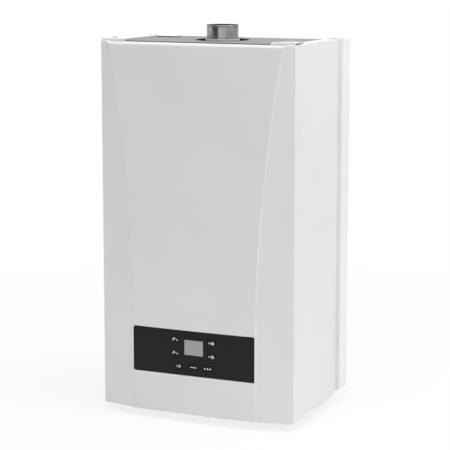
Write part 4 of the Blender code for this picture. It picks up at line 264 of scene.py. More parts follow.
class Patchwork:
    """Patches of one piece's surface, gathered into one mesh."""

    def __init__(self) -> None:
        """Starts empty."""
        self.points: list[Array] = []
        self.faces: list[list[int]] = []
        self.count = 0

    def grid(self, points: Array, wrap_rows: bool = False, wrap_columns: bool = False) -> Array:
        """Adds a grid of points and its four-sided faces.

        Args:
            points: the grid (rows, columns, 3).
            wrap_rows: whether the last row joins the first.
            wrap_columns: whether the last column joins the first.

        Returns:
            The points' numbers (rows, columns).
        """
        rows, columns = points.shape[:2]
        numbers = np.arange(rows * columns).reshape(rows, columns) + self.count
        self.points.append(points.reshape(-1, 3))
        self.count += rows * columns
        net = np.concatenate([numbers, numbers[:1]]) if wrap_rows else numbers
        net = np.concatenate([net, net[:, :1]], 1) if wrap_columns else net
        quads = np.stack([net[:-1, :-1], net[:-1, 1:], net[1:, 1:], net[1:, :-1]], -1)
        self.faces += quads.reshape(-1, 4).tolist()
        return numbers

    def ring(self, points: Array, capped: bool = False, wrap_rows: bool = False) -> Patchwork:
        """Adds rows of closed loops.

        Args:
            points: the loops (rows, columns, 3).
            capped: whether a flat face closes both ends.
            wrap_rows: whether the last loop joins the first.

        Returns:
            The patchwork itself.
        """
        numbers = self.grid(points, wrap_rows, True)
        if capped:
            self.faces += [numbers[0].tolist(), numbers[-1].tolist()]
        return self

    def piece(self, name: str, sharp: float = SHARP) -> bpy.types.Object:
        """Makes the mesh, merges double points and turns the faces outwards.

        Args:
            name: the object's name.
            sharp: angle above which an edge is kept sharp.

        Returns:
            The new object.
        """
        mesh = bpy.data.meshes.new(name)
        mesh.from_pydata(np.concatenate(self.points).tolist(), [], self.faces)
        shape = bmesh.new()
        shape.from_mesh(mesh)
        bmesh.ops.remove_doubles(shape, verts=shape.verts, dist=MERGE)
        bmesh.ops.dissolve_degenerate(shape, edges=shape.edges, dist=MERGE)
        bmesh.ops.recalc_face_normals(shape, faces=shape.faces)
        shape.to_mesh(mesh)
        shape.free()
        piece = bpy.data.objects.new(name, mesh)
        bpy.context.scene.collection.objects.link(piece)
        return smoothed(piece, sharp)


def smoothed(piece: bpy.types.Object, sharp: float = SHARP) -> bpy.types.Object:
    """Shades a piece smoothly and keeps its sharp edges.

    Args:
        piece: the object.
        sharp: angle above which an edge is kept sharp.

    Returns:
        The object.
    """
    piece.data.shade_smooth()
    piece.data.set_sharp_from_angle(angle=sharp)
    return piece


def settled(piece: bpy.types.Object) -> bpy.types.Object:
    """Applies the modifiers of a piece to its mesh.

    Args:
        piece: the object.

    Returns:
        The object, with its new mesh.
    """
    bpy.context.view_layer.update()
    ready = piece.evaluated_get(bpy.context.evaluated_depsgraph_get())
    mesh = bpy.data.meshes.new_from_object(ready)
    piece.modifiers.clear()
    piece.data = mesh
    return piece


def walled(piece: bpy.types.Object, thickness: float) -> bpy.types.Object:
    """Gives an open surface its sheet thickness, inwards.

    Args:
        piece: the surface.
        thickness: the sheet's thickness.

    Returns:
        The object.
    """
    wall = piece.modifiers.new("wall", "SOLIDIFY")
    wall.thickness = thickness
    wall.offset = -1.0
    wall.use_quality_normals = True
    return smoothed(settled(piece))


def carved(piece: bpy.types.Object, *tools: bpy.types.Object) -> bpy.types.Object:
    """Takes closed tools out of a piece and removes the tools.

    Args:
        piece: the object to cut.
        tools: the closed solids to take out.

    Returns:
        The object that was cut.
    """
    for tool in tools:
        cutting = piece.modifiers.new("cut", "BOOLEAN")
        cutting.operation = "DIFFERENCE"
        cutting.solver = "EXACT"
        cutting.object = tool
    settled(piece)
    for tool in tools:
        bpy.data.objects.remove(tool)
    return smoothed(piece)


def gathered(name: str, *pieces: bpy.types.Object) -> bpy.types.Object:
    """Makes one piece of several.

    Args:
        name: the new object's name.
        pieces: the objects, which are removed.

    Returns:
        The new object.
    """
    shape = bmesh.new()
    for piece in pieces:
        shape.from_mesh(settled(piece).data)
        bpy.data.objects.remove(piece)
    mesh = bpy.data.meshes.new(name)
    shape.to_mesh(mesh)
    shape.free()
    whole = bpy.data.objects.new(name, mesh)
    bpy.context.scene.collection.objects.link(whole)
    return smoothed(whole)


def evened(piece: bpy.types.Object) -> bpy.types.Object:
    """Weights the shading by face size, so that flats stay flat beside small roundings.

    Args:
        piece: the object.

    Returns:
        The object.
    """
    weights = piece.modifiers.new("weights", "WEIGHTED_NORMAL")
    weights.keep_sharp = True
    return piece


def plate(name: str, outline: Outline, levels: Pair, axis: Axis, edge: float,
          steps: int = 3) -> bpy.types.Object:
    """Solid plate of an outline between two levels, its rims rounded.

    Args:
        name: the piece's name.
        outline: its outline.
        levels: where it starts and ends along the axis.
        axis: direction of its thickness.
        edge: radius of both rims.
        steps: pieces of each rounding.

    Returns:
        The new object.
    """
    low, high = levels
    profile = filleted([(edge * 2, low), (0.0, low), (0.0, high), (edge * 2, high)], edge, steps)
    return evened(Patchwork().ring(banded(outline, profile, axis), capped=True).piece(name))


def prism(name: str, outline: Outline, levels: Pair, axis: Axis, growth: float = 0.0) -> bpy.types.Object:
    """Straight closed prism to cut with: the outline, grown, at two levels."""
    ends = [(-growth, level) for level in levels]
    return Patchwork().ring(banded(outline, ends, axis), capped=True).piece(name)


def drill(name: str, centre: Pair, radius: float, levels: Pair, steps: int) -> bpy.types.Object:
    """Upright closed cylinder to cut with: a circle at two levels."""
    ends = [(radius, level) for level in levels]
    return Patchwork().ring(lathe(ends, centre, Axis.Z, steps), capped=True).piece(name)


def moved(piece: bpy.types.Object, shift: Place) -> bpy.types.Object:
    """Moves a piece's mesh: each point plus the shift.

    Args:
        piece: the object.
        shift: how far to move it.

    Returns:
        The object.
    """
    points = np.empty(len(piece.data.vertices) * 3)
    piece.data.vertices.foreach_get("co", points)
    piece.data.vertices.foreach_set("co", (points.reshape(-1, 3) + shift).ravel())
    return piece


def turned(name: str, profile: Array, centre: Pair, axis: Axis, edge: float = 0.0, steps: int = 64,
           closed: bool = False, rounding: int = 3) -> bpy.types.Object:
    """Turned solid from (radius, level) corners, rounded, closed at its poles or as a ring."""
    profile = filleted(profile, edge, rounding, closed)
    return evened(Patchwork().ring(lathe(profile, centre, axis, steps), wrap_rows=closed).piece(name))


class Wiring:
    """Node tree of one material, wired in short steps."""

    def __init__(self, name: str) -> None:
        """Starts a material with its shader and output.

        Args:
            name: the material's name.
        """
        self.material = bpy.data.materials.new(name)
        self.material.use_nodes = True
        self.tree = self.material.node_tree
        self.tree.nodes.clear()
        self.shader = self.tree.nodes.new("ShaderNodeBsdfPrincipled")
        output = self.tree.nodes.new("ShaderNodeOutputMaterial")
        self.tree.links.new(self.shader.outputs[0], output.inputs[0])
        self.place = self.tree.nodes.new("ShaderNodeTexCoord").outputs["Object"]

    def set(self, socket: str, value: float | tuple[float, ...]) -> None:
        """Sets a constant on the shader's own socket."""
        self.shader.inputs[socket].default_value = value

    def feed(self, socket: str, source: bpy.types.NodeSocket) -> None:
        """Links a pattern to the shader."""
        self.tree.links.new(source, self.shader.inputs[socket])

    def node(self, kind: str, inputs: dict[str | int, object], result: int | str = 0,
             **settings: object) -> bpy.types.NodeSocket:
        """Adds a node.

        Args:
            kind: the node's type.
            inputs: sockets to link or set, by name or number.
            result: which output to give back.
            settings: properties of the node.

        Returns:
            The output socket.
        """
        node = self.tree.nodes.new(kind)
        for key, value in settings.items():
            setattr(node, key, value)
        for key, value in inputs.items():
            if isinstance(value, bpy.types.NodeSocket):
                self.tree.links.new(value, node.inputs[key])
            else:
                node.inputs[key].default_value = value
        return node.outputs[result]

    def noise(self, scale: float, detail: float,
              stretch: Place = (1.0, 1.0, 1.0)) -> bpy.types.NodeSocket:
        """Cloudy pattern from 0 to 1, finer with a larger scale."""
        place = self.node("ShaderNodeMapping", {"Vector": self.place, "Scale": stretch})
        return self.node("ShaderNodeTexNoise", {"Vector": place, "Scale": scale, "Detail": detail}, "Fac")

    def cells(self, scale: float) -> bpy.types.NodeSocket:
        """Grey patches like the crystals of a zinc coat."""
        colour = self.node("ShaderNodeTexVoronoi", {"Vector": self.place, "Scale": scale}, "Color")
        return self.node("ShaderNodeRGBToBW", {"Color": colour})

    def mapped(self, source: bpy.types.NodeSocket, given: Pair, wanted: Pair) -> bpy.types.NodeSocket:
        """Maps one range of values to another in a straight line."""
        limits = {"From Min": given[0], "From Max": given[1], "To Min": wanted[0], "To Max": wanted[1]}
        return self.node("ShaderNodeMapRange", {"Value": source, **limits})

    def spread(self, source: bpy.types.NodeSocket, low: float, high: float) -> bpy.types.NodeSocket:
        """Stretches a pattern's middle part to a range."""
        return self.mapped(source, PATTERN_MIDDLE, (low, high))

    def mixed(self, share: bpy.types.NodeSocket, first: object, second: object) -> bpy.types.NodeSocket:
        """Mixes two colours, of which the second takes the share."""
        inputs = {MIX_SHARE: share, MIX_FIRST: first, MIX_SECOND: second}
        return self.node("ShaderNodeMix", inputs, MIX_RESULT, data_type="RGBA")

    def tint(self, source: bpy.types.NodeSocket, dark: Colour, light: Colour) -> bpy.types.NodeSocket:
        """Mixes two colours by a pattern."""
        return self.mixed(self.spread(source, 0.0, 1.0), (*dark, 1.0), (*light, 1.0))

    def bump(self, source: bpy.types.NodeSocket, depth: float) -> None:
        """Gives the surface relief of a depth in metres."""
        relief = self.node("ShaderNodeBump", {"Height": source, "Distance": depth, "Strength": 1.0})
        self.feed("Normal", relief)


def shaded(colour: Colour, share: float) -> Colour:
    """Colour made darker or lighter by a share."""
    return tuple(min(1.0, part * (1 + share)) for part in colour)


@dataclass(frozen=True)
class Finish:
    """Surface of a piece: its name, the record's slot and its base values.

    The kinds of finish give a noise by its scale and detail, and their tones and gloss by how much the
    colour's share and the roughness change where the pattern is low and where it is high.
    """

    name: str
    slot: str
    colour: Colour
    roughness: float

    def material(self) -> bpy.types.Material:
        """Makes the finish's material the first time and finds it again later.

        Returns:
            The material.
        """
        known = bpy.data.materials.get(self.name)
        if known:
            return known
        wiring = Wiring(self.name)
        self.wire(wiring)
        return wiring.material

    def tone(self, wiring: Wiring, source: bpy.types.NodeSocket, low: float, high: float) -> None:
        """Lets the colour follow a pattern, between two changes of it."""
        wiring.feed("Base Color", wiring.tint(source, shaded(self.colour, low), shaded(self.colour, high)))

    def dull(self, wiring: Wiring, source: bpy.types.NodeSocket, low: float, high: float) -> None:
        """Lets the roughness follow a pattern, between two changes of it."""
        wiring.feed("Roughness", wiring.spread(source, self.roughness + low, self.roughness + high))

    def wire(self, wiring: Wiring) -> None:
        """Wires the pattern into the shader."""
        raise NotImplementedError


@dataclass(frozen=True)
class Enamel(Finish):
    """Baked paint: faint orange peel, slight clouding of colour and gloss."""

    peel: float = 0.012 * MM
    cloud: float = 0.012
    slow: Pair = (9.0, 2.0)
    fine: Pair = (900.0, 2.0)
    gloss: Pair = (-0.03, 0.03)

    def wire(self, wiring: Wiring) -> None:
        """Colour and gloss follow a slow noise and the relief a fine one.

        Args:
            wiring: the material's node tree.
        """
        slow = wiring.noise(*self.slow)
        self.tone(wiring, slow, -self.cloud, self.cloud)
        self.dull(wiring, slow, *self.gloss)
        wiring.bump(wiring.noise(*self.fine), self.peel)


@dataclass(frozen=True)
class ZincCoat(Finish):
    """Hot-dip zinc: crystals a few millimetres wide with their own tone and gloss."""

    crystal: float = 150.0
    fine: Pair = (700.0, 3.0)
    tones: Pair = (-0.14, 0.10)
    gloss: Pair = (-0.07, 0.08)
    relief: float = 0.01 * MM

    def wire(self, wiring: Wiring) -> None:
        """Tone and gloss follow cells, with a fine noise on top.

        Args:
            wiring: the material's node tree.
        """
        cells = wiring.cells(self.crystal)
        self.tone(wiring, cells, *self.tones)
        self.dull(wiring, cells, *self.gloss)
        wiring.set("Metallic", 1.0)
        wiring.bump(wiring.noise(*self.fine), self.relief)


@dataclass(frozen=True)
class DrawnMetal(Finish):
    """Drawn or brushed metal: streaks along the stretched direction, slight stains."""

    stretch: Place = (1.0, 1.0, 1.0)
    stain: float = 0.08
    slow: Pair = (28.0, 3.0)
    fine: Pair = (260.0, 4.0)
    gloss: Pair = (-0.06, 0.08)
    relief: float = 0.012 * MM

    def wire(self, wiring: Wiring) -> None:
        """Streaks set gloss and relief, a slow noise the stains.

        Args:
            wiring: the material's node tree.
        """
        streaks = wiring.noise(*self.fine, self.stretch)
        self.tone(wiring, wiring.noise(*self.slow), -self.stain, self.stain / 2)
        self.dull(wiring, streaks, *self.gloss)
        wiring.set("Metallic", 1.0)
        wiring.bump(streaks, self.relief)


@dataclass(frozen=True)
class FlueMetal(DrawnMetal):
    """Drawn steel tube, its bore painted dark and without gloss as painted shade inside the tube."""

    centre: Place = (0.0, -138 * MM, 0.0)
    bore: float = 29.95 * MM
    fade: float = 0.4 * MM
    # Painted shade: the dark colour of the tube's inside.
    bore_shade: Colour = (0.03, 0.028, 0.026)

    def wire(self, wiring: Wiring) -> None:
        """Darkens what lies nearer the tube's axis than its outside and takes away its gloss there, as
        painted shade inside the bore.

        The distance is the length of the point minus the centre with its height set to zero.

        Args:
            wiring: the material's node tree.
        """
        super().wire(wiring)
        colour = wiring.shader.inputs["Base Color"].links[0].from_socket
        offset = wiring.node("ShaderNodeVectorMath", {0: wiring.place, 1: self.centre}, operation="SUBTRACT")
        flat = wiring.node("ShaderNodeVectorMath", {0: offset, 1: (1.0, 1.0, 0.0)}, operation="MULTIPLY")
        reach = wiring.node("ShaderNodeVectorMath", {0: flat}, "Value", operation="LENGTH")
        # Painted shade inside the bore: colour turns dark, metal and gloss fade out.
        metal = wiring.mapped(reach, (self.bore - self.fade, self.bore), (0.0, 1.0))
        wiring.feed("Base Color", wiring.mixed(metal, (*self.bore_shade, 1.0), colour))
        wiring.feed("Metallic", metal)
        wiring.feed("Specular IOR Level", metal)


@dataclass(frozen=True)
class CastMetal(Finish):
    """Cast or forged metal: pebbled skin with darker hollows."""

    metallic: float = 1.0
    grain: float = 420.0
    relief: float = 0.06 * MM
    detail: float = 4.0
    tones: Pair = (-0.16, 0.08)
    gloss: Pair = (0.07, -0.05)

    def wire(self, wiring: Wiring) -> None:
        """One noise sets tone, gloss and relief together.

        Args:
            wiring: the material's node tree.
        """
        skin = wiring.noise(self.grain, self.detail)
        self.tone(wiring, skin, *self.tones)
        self.dull(wiring, skin, *self.gloss)
        wiring.set("Metallic", self.metallic)
        wiring.bump(skin, self.relief)


@dataclass(frozen=True)
class Moulding(Finish):
    """Moulded plastic or rubber with a fine grain."""

    grain: float = 1400.0
    relief: float = 0.02 * MM
    sheen: float = 0.5
    slow: Pair = (40.0, 2.0)
    detail: float = 2.0
    tones: Pair = (-0.06, 0.06)
    gloss: Pair = (-0.03, 0.04)

    def wire(self, wiring: Wiring) -> None:
        """Fine grain in the relief and a slow noise in the colour and the gloss.

        Args:
            wiring: the material's node tree.
        """
        slow = wiring.noise(*self.slow)
        self.tone(wiring, slow, *self.tones)
        self.dull(wiring, slow, *self.gloss)
        wiring.set("Specular IOR Level", self.sheen)
        wiring.bump(wiring.noise(self.grain, self.detail), self.relief)


@dataclass(frozen=True)
class BoardLacquer(Finish):
    """Circuit board: lacquer over a net of tracks."""

    cell: float = 190.0
    tones: Pair = (-0.25, 0.6)
    gloss: Pair = (0.0, 0.1)
    relief: float = 0.03 * MM

    def wire(self, wiring: Wiring) -> None:
        """Square cells stand for the tracks' pattern, lighter over copper.

        Args:
            wiring: the material's node tree.
        """
        tracks = wiring.node("ShaderNodeTexVoronoi", {"Vector": wiring.place, "Scale": self.cell}, "Distance",
                             distance="CHEBYCHEV")
        self.tone(wiring, tracks, *self.tones)
        self.dull(wiring, tracks, *self.gloss)
        wiring.bump(tracks, self.relief)


@dataclass(frozen=True)
class PanelGlass(Finish):
    """Glossy window over a pattern, or clear glass."""

    clear: float = 0.0
    slow: Pair = (60.0, 2.0)
    fine: Pair = (220.0, 1.0)
    tones: Pair = (-0.05, 0.05)
    gloss: Pair = (0.0, 0.03)
    relief: float = 0.002 * MM

    def wire(self, wiring: Wiring) -> None:
        """A slow noise clouds the colour slightly under the gloss.

        Args:
            wiring: the material's node tree.
        """
        slow = wiring.noise(*self.slow)
        self.tone(wiring, slow, *self.tones)
        self.dull(wiring, slow, *self.gloss)
        wiring.set("Transmission Weight", self.clear)
        wiring.bump(wiring.noise(*self.fine), self.relief)


WHITE = Enamel("white_enamel", "white_paint", (0.80, 0.80, 0.795), 0.34)
FRAME_WHITE = Enamel("frame_enamel", "white_paint", (0.86, 0.875, 0.895), 0.40)
GREY = Enamel("grey_enamel", "grey_paint", (0.25, 0.25, 0.255), 0.6)
RED = Enamel("red_enamel", "red_paint", (0.45, 0.03, 0.02), 0.40, 0.02 * MM, 0.05)
ZINC = ZincCoat("zinc_coat", "zinc_sheet", (0.58, 0.60, 0.62), 0.40)
FLUE_STEEL = FlueMetal("flue_steel", "steel", (0.40, 0.395, 0.39), 0.24, (0.6, 0.6, 0.02), 0.5)
STEEL = DrawnMetal("drawn_steel", "steel", (0.56, 0.55, 0.54), 0.30)
COPPER = DrawnMetal("drawn_copper", "copper", (0.80, 0.42, 0.26), 0.30, (1.0, 1.0, 0.12), 0.14)
BRASS = CastMetal("forged_brass", "brass", (0.72, 0.56, 0.28), 0.35, 1.0, 500.0, 0.03 * MM)
ALUMINIUM = CastMetal("cast_aluminium", "aluminium", (0.70, 0.71, 0.72), 0.42)
BLACK_IRON = CastMetal("black_casting", "black_iron", (0.16, 0.16, 0.17), 0.55, 0.6, 320.0, 0.10 * MM)
GLOSS_BLACK = Moulding("fascia_plastic", "black_plastic", (0.010, 0.010, 0.0105), 0.38, sheen=0.22)
DARK = Moulding("dark_plastic_grain", "dark_plastic", (0.045, 0.045, 0.048), 0.50)
GREY_PLASTIC = Moulding("grey_plastic_grain", "grey_plastic", (0.35, 0.36, 0.37), 0.50)
RED_PLASTIC = Moulding("red_plastic_grain", "red_plastic", (0.55, 0.04, 0.03), 0.45)
SILICONE = Moulding("silicone_skin", "silicone", (0.52, 0.52, 0.50), 0.60, 700.0, 0.03 * MM, 0.3)
RUBBER = Moulding("rubber_skin", "black_rubber", (0.018, 0.018, 0.019), 0.65, 700.0, 0.03 * MM, 0.2)
CERAMIC = Moulding("porcelain_glaze", "ceramic", (0.85, 0.83, 0.78), 0.22, 300.0, 0.01 * MM)
BOARD = BoardLacquer("board_lacquer", "circuit_board", (0.03, 0.18, 0.07), 0.40)
CRYSTAL = PanelGlass("crystal_window", "display", (0.36, 0.39, 0.38), 0.15)
CLEAR = PanelGlass("clear_window", "clear_glass", (0.55, 0.62, 0.62), 0.05, 0.85)
PRINT = Moulding("printed_marks", "grey_plastic", (0.92, 0.93, 0.94), 0.50)
FIBRE = CastMetal("fibre_board", "insulation_board", (0.76, 0.74, 0.68), 0.85, 0.0, 260.0, 0.15 * MM)
BLACK_PLASTIC = Moulding("black_plastic_grain", "black_plastic", (0.035, 0.035, 0.037), 0.45)

# Finish of each node whose own shape is kept, with rounded edges.
NODE_FINISHES: dict[str, Finish] = {
    "front_rail": ZINC, "connection_plate": ZINC, "cable_gland": RUBBER,
    "air_chamber": ZINC, "chamber_cover": ZINC, "sight_glass": CLEAR,
    "combustion_box": FIBRE, "burner": STEEL, "gas_manifold": ALUMINIUM, "heat_exchanger": COPPER,
    "flue_hood": ALUMINIUM, "fan_housing": ALUMINIUM, "fan_motor": BLACK_IRON, "fan_impeller": ALUMINIUM,
    "air_pressure_switch": GREY_PLASTIC, "ignition_electrode": CERAMIC, "flame_electrode": CERAMIC,
    "expansion_vessel": RED, "vessel_tube": STEEL, "pump_body": BLACK_IRON, "pump_motor": ALUMINIUM,
    "pump_impeller": GREY_PLASTIC, "air_vent": BRASS, "return_manifold": BRASS, "flow_manifold": BRASS,
    "diverter_motor": DARK, "diverter_stem": STEEL, "plate_exchanger": STEEL, "gas_valve": ALUMINIUM,
    "gas_inlet_pipe": BRASS, "gas_pipe": COPPER, "flow_pipe": COPPER, "return_pipe": COPPER,
    "safety_valve": BRASS,
    "control_box": DARK, "control_rear_lid": DARK, "circuit_board": BOARD,
}


# A finished piece: its object, its surface, the body that it rides on and the nodes that it replaces.
Entry = tuple[bpy.types.Object, Finish, str, tuple[str, ...]]


@dataclass
class Assembly:
    """Sub-assembly: builds its pieces, then dresses them."""

    made: list[Entry] = field(default_factory=list, init=False)

    def add(self, piece: bpy.types.Object, finish: Finish, body: str, *stands_for: str) -> None:
        """Notes a finished piece.

        Args:
            piece: its object.
            finish: its surface.
            body: the body that it rides on.
            stands_for: the frame's nodes that it replaces.
        """
        self.made.append((piece, finish, body, stands_for))

    def build(self) -> None:
        """Makes the meshes."""
        raise NotImplementedError

    def dress(self) -> None:
        """Gives each piece its finish, its body and the nodes that it replaces."""
        for piece, finish, body, stands_for in self.made:
            piece.data.materials.clear()
            piece.data.materials.append(finish.material())
            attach(piece, body)
            if stands_for:
                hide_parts(*stands_for)
            LOG.info("%s rides on %s, in %s", piece.name, body, finish.name)


@dataclass
class FrontCover(Assembly):
    """Pressed front cover: bowed field between two strips, turned-back rims, collared opening."""

    half_width: float = 198 * MM
    base: float = -640 * MM
    height: float = 700 * MM
    front: float = -255 * MM
    back: float = -234.2 * MM
    lip: float = 12 * MM
    sheet: float = 1.0 * MM
    field_low: float = 126.0 * MM
    field_growth: float = 51.8 * MM
    proud_low: float = 15.6 * MM
    proud_loss: float = 6.1 * MM
    bend_height: float = 150 * MM
    bow: float = 2.5 * MM
    step: float = 3.0 * MM
    step_run: float = 3.96 * MM
    step_width: float = 4.4 * MM
    crease_radius: float = 1.3 * MM
    rim_radius: float = 1.3 * MM
    field_rim_radius: float = 5.0 * MM
    field_drop: float = 1.9 * MM
    opening_low: Pair = (-126.0 * MM, -565.9 * MM)
    opening_high: Pair = (126.0 * MM, -478.6 * MM)
    opening_radius: float = 3.6 * MM
    opening_front: float = -280 * MM
    opening_roll: float = 2.8 * MM
    roll_share_above: float = 0.5
    opening_columns: int = 24
    opening_steps: int = 6
    collar_back: float = -265.2 * MM
    screw_x: float = 120 * MM
    screw_y: float = -244 * MM
    screw_hole: float = 2.15 * MM
    screw_steps: int = 24
    rows: int = 110
    field_columns: int = 48
    strip_columns: int = 12
    profile_arcs: int = 3
    arc_steps: int = 4
    bend_steps: int = 5

    def rise(self, height: Array) -> Array:
        """Share of the way up above the bend, squared."""
        return np.clip((height - self.bend_height) / (self.height - self.bend_height), 0.0, None) ** 2

    def crease(self, height: Array) -> Array:
        """Half width of the field: constant, then a parabola above the bend."""
        return self.field_low + self.field_growth * self.rise(height)

    def proud(self, height: Array) -> Array:
        """How far the field's edge stands in front of the corner line."""
        return self.proud_low - self.proud_loss * self.rise(height)

    def field_y(self, x: Array, height: Array) -> Array:
        """Depth of the field: its edge plus a bow of 1 - (x / crease)^2."""
        share = x / self.crease(height)
        return self.front - self.proud(height) - self.bow * (1 - share ** 2)

    def half_profile(self, height: Array) -> tuple[Array, Array]:
        """Right half of the section beyond the field: crease, slanted step, its foot, bend, strip.

        Args:
            height: heights (rows,).

        Returns:
            X (rows, k) and depth (rows, k).
        """
        crease = self.crease(height)
        near = crease - self.step_width
        bend_y = self.front - self.proud(height) + self.step
        bend = crease + self.step_width
        slope = (self.front - bend_y) / (self.half_width - bend)
        end = np.full_like(height, self.half_width - self.rim_radius)
        end_y = bend_y + slope * (end - bend)
        across = np.stack([near, crease, crease + self.step_run, bend, end], -1)
        field_y = [self.field_y(near, height), self.field_y(crease, height)]
        depth = np.stack([*field_y, bend_y, bend_y, end_y], -1)
        corners = np.stack([across, depth], -1)
        arcs = filleted(corners, self.crease_radius, self.arc_steps)[:, :-1]
        share = np.linspace(0.0, 1.0, self.strip_columns + 1)[1:, None]
        strip = arcs[:, -1:] + (corners[:, -1:] - arcs[:, -1:]) * share
        line = np.concatenate([arcs, strip], 1)
        return line[..., 0], line[..., 1]

    def face(self) -> tuple[Array, Array]:
        """Outer face inside its rim.

        Returns:
            The grid (rows, columns, 3) and each column's share of strip, 0 on the field.
        """
        field_top = self.height - self.field_drop - self.field_rim_radius
        height = np.linspace(self.rim_radius, field_top, self.rows)
        side_x, side_y = self.half_profile(height)
        across = np.linspace(-1.0, 1.0, self.field_columns + 1)[1:-1]
        middle_x = across * side_x[:, :1]
        middle_y = self.field_y(middle_x, height[:, None])
        x = np.concatenate([-side_x[:, ::-1], middle_x, side_x], 1)
        y = np.concatenate([side_y[:, ::-1], middle_y, side_y], 1)
        rounded = self.profile_arcs * (self.arc_steps + 1)
        arc = np.clip((np.arange(side_x.shape[1]) - 1) / (rounded - 1), 0.0, 1.0)
        strip = np.concatenate([arc[::-1], np.zeros(len(across)), arc])
        stretch = 1 + strip * ((self.height - self.rim_radius) / field_top - 1)
        z = self.base + height[:, None] * stretch
        return np.stack([x, y, z], -1), strip

    def rim(self, face: Array, strip: Array) -> Array:
        """Loops round the face: quarter bend, return, second bend and inward lip.

        A point P of the face's edge with outward direction o goes to P + o r sin(a) and r (1 - cos(a))
        back, then straight back, then inwards along -o.

        Args:
            face: the face's grid.
            strip: each column's share of strip.

        Returns:
            Loops (k, n, 3), the first being the face's own edge.
        """
        rows, columns = face.shape[:2]
        ring = np.concatenate([face[0], face[1:-1, -1], face[-1, ::-1], face[-2:0:-1, 0]])
        top = self.field_rim_radius + (self.rim_radius - self.field_rim_radius) * strip[::-1]
        sides = np.full(rows - 2, self.rim_radius)
        radius = np.concatenate([np.full(columns, self.rim_radius), sides, top, sides])[:, None]
        out = np.zeros((len(ring), 3))
        out[:columns, 2] = -1.0
        out[columns + rows - 2:2 * columns + rows - 2, 2] = 1.0
        out[columns - 1:columns + rows - 1, 0] = 1.0
        out[2 * columns + rows - 3:, 0] = -1.0
        out[0, 0] = -1.0
        turn = np.linspace(0.0, np.pi / 2, self.bend_steps + 1)[:, None, None]
        depth = np.array([0.0, 1.0, 0.0])
        first = ring + out * radius * np.sin(turn) + depth * radius * (1 - np.cos(turn))
        edge = ring + out * radius
        small = self.rim_radius
        levels = np.concatenate([self.back - small + small * np.sin(turn[:, 0, 0]), [self.back]])
        insets = np.concatenate([small * (1 - np.cos(turn[:, 0, 0])), [self.lip]])
        later = edge - out * insets[:, None, None]
        later[..., 1] = levels[:, None]
        return np.concatenate([first, later])

    def opening(self, growth: float = 0.0) -> Outline:
        """Outline of the opening with points along its level edges.

        Args:
            growth: how much taller it is below, and by a share of this above.

        Returns:
            The outline.
        """
        low, high = self.opening_low, self.opening_high
        across = np.linspace(low[0], high[0], self.opening_columns + 1)
        bottom = [(x, low[1] - growth) for x in across]
        top = [(x, high[1] + growth * self.roll_share_above) for x in across[::-1]]
        radii = (self.opening_radius, *[0.0] * (self.opening_columns - 1), self.opening_radius)
        return Outline(tuple(bottom + top), radii * 2, self.opening_steps)

    def collar_loops(self) -> Array:
        """Loops of the collar: edge rolled inwards above and below, inner wall, back, outer wall.

        With the angle a from 0 to 90 degrees the roll is r (1 - sin a) taller than the opening and lies
        r (1 - cos a) behind the field.

        Returns:
            Points (loops, n, 3).
        """
        roll = self.opening_roll
        turn = np.linspace(0.0, np.pi / 2, self.bend_steps + 1)
        growth = np.concatenate([roll * (1 - np.sin(turn)), [0.0, roll, roll]])
        behind = np.concatenate([roll * (1 - np.cos(turn)), [0.0, 0.0, self.sheet]])
        flat = np.concatenate([self.opening(rise).at(0.0) for rise in growth])
        level = self.field_y(flat[..., 0], flat[..., 1] - self.base) + behind[:, None]
        level[len(turn):len(turn) + 2] = self.collar_back
        return Axis.Y.place(flat, level)

    def build(self) -> None:
        """Presses the sheet, pierces it and sets the collar into the opening."""
        face, strip = self.face()
        shell = Patchwork()
        shell.grid(face)
        shell.ring(self.rim(face, strip))
        cover = walled(shell.piece("cover_shell"), self.sheet)
        cut_out = self.opening(self.opening_roll)
        tools = [prism("opening_tool", cut_out, (self.opening_front, self.collar_back), Axis.Y)]
        ends = (self.base - self.lip, self.base + self.lip / 2)
        for side, _ in SIDES:
            place = (side * self.screw_x, self.screw_y)
            tools.append(drill("screw_tool", place, self.screw_hole, ends, self.screw_steps))
        cover = carved(cover, *tools)
        collar = Patchwork().ring(self.collar_loops(), wrap_rows=True).piece("collar")
        whole = gathered("front_cover_sheet", cover, collar)
        self.add(evened(whole), WHITE, "cover", "front_cover")


@dataclass
class CoverHooks(Assembly):
    """Two bridge-shaped ears at the cover's top corners, slotted for the tongues."""

    inner_x: float = 149 * MM
    outer_x: float = 197.7 * MM
    slant: float = 26 * MM
    front: float = -253 * MM
    back: float = -217 * MM
    front_foot: float = 58.4 * MM
    rear_foot: float = 61.3 * MM
    top: float = 64.3 * MM
    sheet: float = 1.0 * MM
    bend: float = 1.2 * MM
    slot_x: float = 181 * MM
    slot_y: float = -231 * MM
    slot_half: Pair = (6.8 * MM, 2.55 * MM)
    slot_corner: float = 1.0 * MM
    columns: int = 9
    bend_steps: int = 5

    def build(self) -> None:
        """Bends each strap over its profile and cuts the slot.

        The point at share u along the strap lies at outer + u (inner(y) - outer), where the inner end
        is slanted: inner(y) grows in a straight line from front to back.
        """
        corners = [(self.front, self.front_foot), (self.front, self.top), (self.back, self.top),
                   (self.back, self.rear_foot)]
        y, z = filleted(corners, self.bend, self.bend_steps).T
        share = np.linspace(0.0, 1.0, self.columns)[:, None]
        lean = self.slant * (y - self.front) / (self.back - self.front)
        for side, label in SIDES:
            x = side * (self.outer_x + (self.inner_x + lean - self.outer_x) * share)
            strap = Patchwork()
            strap.grid(np.stack(np.broadcast_arrays(x, y, z), -1))
            hook = walled(strap.piece(f"hook_{label}_strap"), self.sheet)
            slot = centred_outline((side * self.slot_x, self.slot_y), self.slot_half, self.slot_corner)
            tool = prism("slot_tool", slot, (self.top - 2 * self.sheet, self.top + self.sheet), Axis.Z)
            self.add(evened(carved(hook, tool)), WHITE, "cover", f"cover_hook_{label}")


